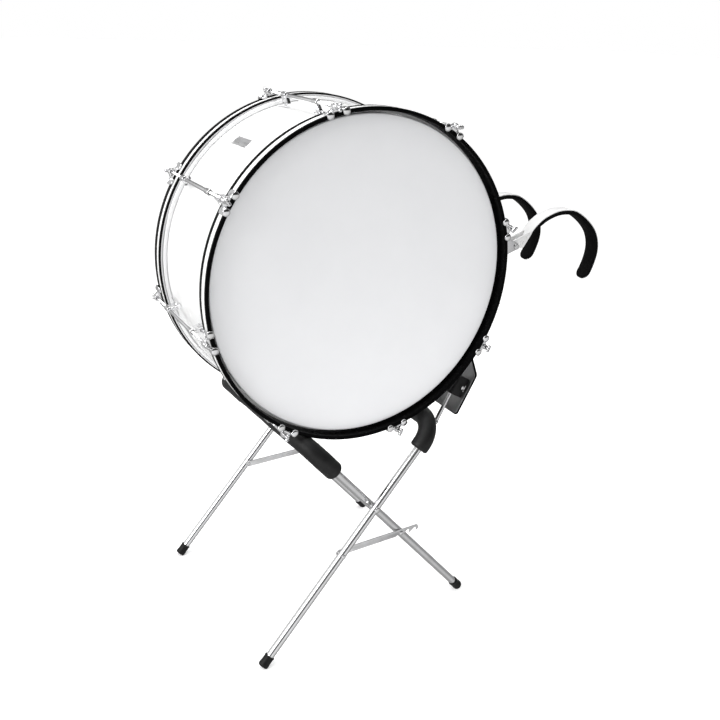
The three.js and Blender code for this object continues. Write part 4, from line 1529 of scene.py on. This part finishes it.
def belly_pad():
    """Cushion on the plate, with the lines of its stitching and its binding."""
    count = 168
    base = PLATE_OUT + PLATE_THICK + 0.3
    outline = plate_outline(grow=1.6)
    outline = np.vstack([outline, outline[:1]])
    lengths = arc_lengths(outline)
    outline = interpolate(outline, lengths, np.linspace(0, lengths[-1], count + 1)[:-1])
    centre = np.array([sum(PLATE_X) / 2 + 8, sum(PLATE_Y) / 2])

    def loop(fraction, z):
        flat = centre + (outline - centre) * fraction
        return np.column_stack([flat, np.full(count, z)])

    # sizes of the rings as fractions of the outline
    top_sizes = [
        1.0, 0.985, 0.965, 0.94, 0.91, 0.88, 0.85, 0.8,
        0.74, 0.67, 0.59, 0.5, 0.41, 0.31, 0.21, 0.1,
    ]
    bottom_sizes = (1.0, 0.8, 0.5, 0.1)
    loops = []
    for size in top_sizes:
        edge = min(1.0, (1 - size) / 0.09)
        loops.append(loop(size, base + (3.0 + 4.6 * sqrt(1 - (1 - edge) ** 2))))
    loops += [loop(size, base) for size in bottom_sizes]
    middles = [(*centre, base + 7.6), (*centre, base)]
    verts = np.vstack([*loops, middles])

    bottom = len(top_sizes) * count
    top_middle = bottom + len(bottom_sizes) * count
    faces = ring_faces(len(top_sizes), count)
    faces += [face[::-1] for face in ring_faces(len(bottom_sizes), count, start=bottom)]
    top_last, bottom_last = bottom - count, top_middle - count
    for j in range(count):
        k = (j + 1) % count
        faces.append((top_last + j, top_last + k, top_middle))
        faces.append((bottom_last + k, bottom_last + j, top_middle + 1))
        faces.append((k, j, bottom + j, bottom + k))
    pinned = np.zeros(len(verts), bool)
    pinned[bottom:] = True
    pinned[top_middle] = False
    verts = inflate(verts, faces, pinned, largest=3.4, stiffness=12)
    rings = verts[:top_middle].reshape(-1, count, 3)
    # a sewn channel follows the edge
    for k, size in enumerate(top_sizes):
        rings[k, :, 2] -= 1.9 * max(0.0, 1 - abs(size - 0.86) * 95.0 / 4.0)
    stitching = rings[5] * 0.35 + rings[6] * 0.65
    binding = rings[0] * 0.5 + rings[len(top_sizes)] * 0.5
    return (verts, faces), np.vstack([stitching, stitching[:1]]), binding


def stitches(line, radius=0.4, length=3.2, gap=1.6):
    """Short thread ends along a line, set a little above it."""
    lengths = arc_lengths(line)
    raised = np.array([0, 0, 0.25])
    parts = []
    at = gap
    while at + length < lengths[-1]:
        start = interpolate(line, lengths, at) + raised
        end = interpolate(line, lengths, at + length) + raised
        parts.append(rod(start, end, radius, 6, radius * 0.9))
        at += length + gap
    return merge(*parts)


plate = prism(plate_outline(), PLATE_OUT, PLATE_OUT + PLATE_THICK, "xy", 0.7)
add("belly_plate_metal", plate, CARRIER, "belly_plate", PLATE_METAL, "belly_plate")
cushion, stitch_line, cushion_edge = belly_pad()
add("belly_cushion", cushion, CARRIER, "belly_plate", PAD_FABRIC, "belly_pad", angle=60)
cord = piping(cushion_edge, 1.5)
add("belly_binding", cord, CARRIER, "belly_plate", PAD_FABRIC, angle=80)
add("belly_stitching", stitches(stitch_line), CARRIER, "belly_plate", THREAD)


def clamp(bar_y):
    """Block bored for a bar, with four cap screws on the side that faces the drum."""
    low, high = bar_y - 14, bar_y + 14
    section = [(low, 395), (high, 395), (high, 429.5), (low, 429.5)]
    section = fillet(section, [5, 5, 1.2, 1.2], 5)
    bore = hole(BAR_R + 0.5, 24, bar_y, BAR_OUT)
    parts = [prism(section, 112, 162, "yz", 1.4, [bore])]
    for x in (120.0, 154.0):
        for y in (bar_y - 9.6, bar_y + 9.6):
            parts.append(rod((x, y, 396.0), (x, y, 392.6), 3.4, 6, 0.4))
    return merge(*parts)


def wing_screw(bar_y, side):
    """Shank, round head and two wings, pointing away from the clamp towards side."""
    screw_x, screw_z = 137.0, 418.0

    def turned_part(start, end, radius, segments, rounding):
        ends = [(screw_x, bar_y + side * out, screw_z) for out in (start, end)]
        return rod(*ends, radius, segments, rounding)

    parts = [turned_part(6, 15, 2.6, 24, 0.3), turned_part(14.4, 20, 5.5, 32, 1.2)]
    # distance across from the screw's axis, distance out from the bar
    wing = [(1.0, 18.0), (9.0, 20.5), (8.0, 26.6), (3.2, 23.0), (0, 19.6)]
    for way in (-1, 1):
        outline = [(screw_x + way * across, bar_y + side * out) for across, out in wing]
        outline = fillet(outline, [0, 2.0, 2.4, 2.0, 0], 5)
        parts.append(prism(outline, screw_z - 1.3, screw_z + 1.3, "xy", 0.7))
    return merge(*parts)


for name, bar_y, side in (("front", BAR_YS[0], -1), ("back", BAR_YS[1], 1)):
    node = name + "_clamp"
    add(name + "_clamp_block", clamp(bar_y), CARRIER, "belly_plate", CLAMP_BLACK, node)
    node = name + "_clamp_screw"
    add(name + "_wing_screw", wing_screw(bar_y, side), CARRIER, node, CHROME, node)

# ---- floor ----------------------------------------------------------------------------
scene = bpy.context.scene


def floor_paint():
    """Near-white paint that glows a little, and shows a set brightness in reflections."""
    paint = Surface(
        "floor_paint",
        grey(0.93),
        0.75,
        specular=0.2,
        emission_color=(1, 1, 1, 1),
        emission_strength=0.3,
    )
    paint.mottle(grey(0.925), grey(0.935), scale=0.6, detail=2)
    tree = paint.tree
    # in reflections the floor is greyer towards +X and +Y
    incoming = add_node(tree, "NewGeometry", {}).outputs["Incoming"]
    split = add_node(tree, "SeparateXYZ", {0: incoming})
    by_x = map_range(tree, split.outputs["X"], (-0.45, 0.7), (0.8, 1.15))
    by_y = map_range(tree, split.outputs["Y"], (0.3, 0.8), (0.42, 1.0))
    strength = math_node(tree, "MULTIPLY", by_x, by_y)
    reflected = add_node(tree, "Emission", {"Strength": strength})
    # the glow is left out of the light that the floor casts on things
    ray = add_node(tree, "LightPath", {})
    glow = map_range(tree, ray.outputs["Is Diffuse Ray"], (0.0, 1.0), (0.3, 0.0))
    paint.put("Emission Strength", glow)
    shaders = {
        0: ray.outputs["Is Glossy Ray"],
        1: paint.shader.outputs[0],
        2: reflected.outputs[0],
    }
    mix = add_node(tree, "MixShader", shaders)
    output = next(n for n in tree.nodes if n.type == "OUTPUT_MATERIAL")
    connect(tree, mix.outputs[0], output.inputs["Surface"])
    return paint.material


floor_corners = [(-40, -40, 0), (40, -40, 0), (40, 40, 0), (-40, 40, 0)]
floor_mesh = new_mesh("floor", floor_corners, [(0, 1, 2, 3)])
floor = bpy.data.objects.new("floor", floor_mesh)
scene.collection.objects.link(floor)
floor_mesh.materials.append(floor_paint())


# ---- world, lights and camera ---------------------------------------------------------
def studio():
    """White to the camera, even for diffuse light, and a shaded room in reflections."""
    world = bpy.data.worlds.new("studio")
    scene.world = world
    world.use_nodes = True
    tree = world.node_tree
    tree.nodes.clear()

    def ramp(axis, source, target):
        value = split.outputs[axis]
        return map_range(tree, value, source, target, interpolation_type="SMOOTHSTEP")

    def mix(factor, first, second):
        return add_node(tree, "MixShader", {0: factor, 1: first, 2: second}).outputs[0]

    direction = add_node(tree, "TexCoord", {}).outputs["Generated"]
    split = add_node(tree, "SeparateXYZ", {0: direction})
    # reflections: bright at -X, grey at +X, dim in front of the drum, a light ceiling
    side_light = ramp("X", (-0.75, 0.3), (1.2, 0.22))
    front_dim = ramp("Y", (-0.85, -0.3), (0.2, 1.0))
    ceiling = ramp("Z", (0.6, 0.95), (0.0, 0.4))
    walls = math_node(tree, "MULTIPLY", side_light, front_dim)
    room = math_node(tree, "ADD", walls, ceiling)
    white = (1, 1, 1, 1)
    seen = add_node(tree, "Background", {"Color": white, "Strength": 1.0}).outputs[0]
    reflected = add_node(tree, "Background", {"Strength": room}).outputs[0]
    diffuse = add_node(tree, "Background", {"Color": white, "Strength": 0.8}).outputs[0]
    ray = add_node(tree, "LightPath", {})
    lighting = mix(ray.outputs["Is Glossy Ray"], diffuse, reflected)
    surface = mix(ray.outputs["Is Camera Ray"], lighting, seen)
    add_node(tree, "OutputWorld", {"Surface": surface})


def softbox(name, at, target, size, power, glossy=True):
    """Square area light, unseen by the camera. Metres and watts."""
    light = bpy.data.lights.new(name, "AREA")
    light.energy = power
    light.shape = "RECTANGLE"
    light.size = size
    light.size_y = size
    lamp = bpy.data.objects.new(name, light)
    scene.collection.objects.link(lamp)
    lamp.location = at
    lamp.rotation_mode = "QUATERNION"
    lamp.rotation_quaternion = (Vector(target) - Vector(at)).to_track_quat("-Z", "Y")
    lamp.visible_glossy = glossy
    lamp.visible_camera = False


def add_camera():
    data = bpy.data.cameras.new("camera")
    camera = bpy.data.objects.new("camera", data)
    scene.collection.objects.link(camera)
    right = Vector((0.87279571, -0.48658482, 0.03824739))
    forward = Vector((0.46960250, 0.81580134, -0.33755246))
    up = Vector((0.13304563, 0.31257541, 0.94052936))
    rotation = Matrix((right, up, -forward)).transposed().to_4x4()
    place = (AXIS_X - 0.911809, FRONT_Y - 1.600125, AXIS_Z + 0.542446)
    camera.matrix_world = Matrix.Translation(place) @ rotation
    data.sensor_fit = "HORIZONTAL"
    data.sensor_width = 36.0
    data.lens = 44.27475
    data.shift_x = -0.01613194444
    data.shift_y = -0.03642083333
    data.clip_start = 0.05
    data.clip_end = 100
    scene.camera = camera


studio()
middle = (AXIS_X, FRONT_Y + 0.17, AXIS_Z - 0.15)
softbox("key", (AXIS_X - 2.9, FRONT_Y - 0.42, 2.1), middle, size=1.5, power=46)
softbox("top", (AXIS_X - 0.25, FRONT_Y + 0.5, 3.1), middle, size=1.4, power=42)
softbox(
    "low_front",
    (AXIS_X + 0.05, FRONT_Y - 0.8, 0.16),
    (AXIS_X + 0.05, FRONT_Y, 0.16),
    size=0.5,
    power=3.2,
    glossy=False,
)
softbox("edge", (AXIS_X + 2.6, FRONT_Y + 1.4, 2.2), middle, size=0.9, power=14)
add_camera()

scene.view_settings.view_transform = "Standard"
scene.view_settings.look = "None"
scene.view_settings.exposure = 0.0
scene.view_settings.gamma = 1.0
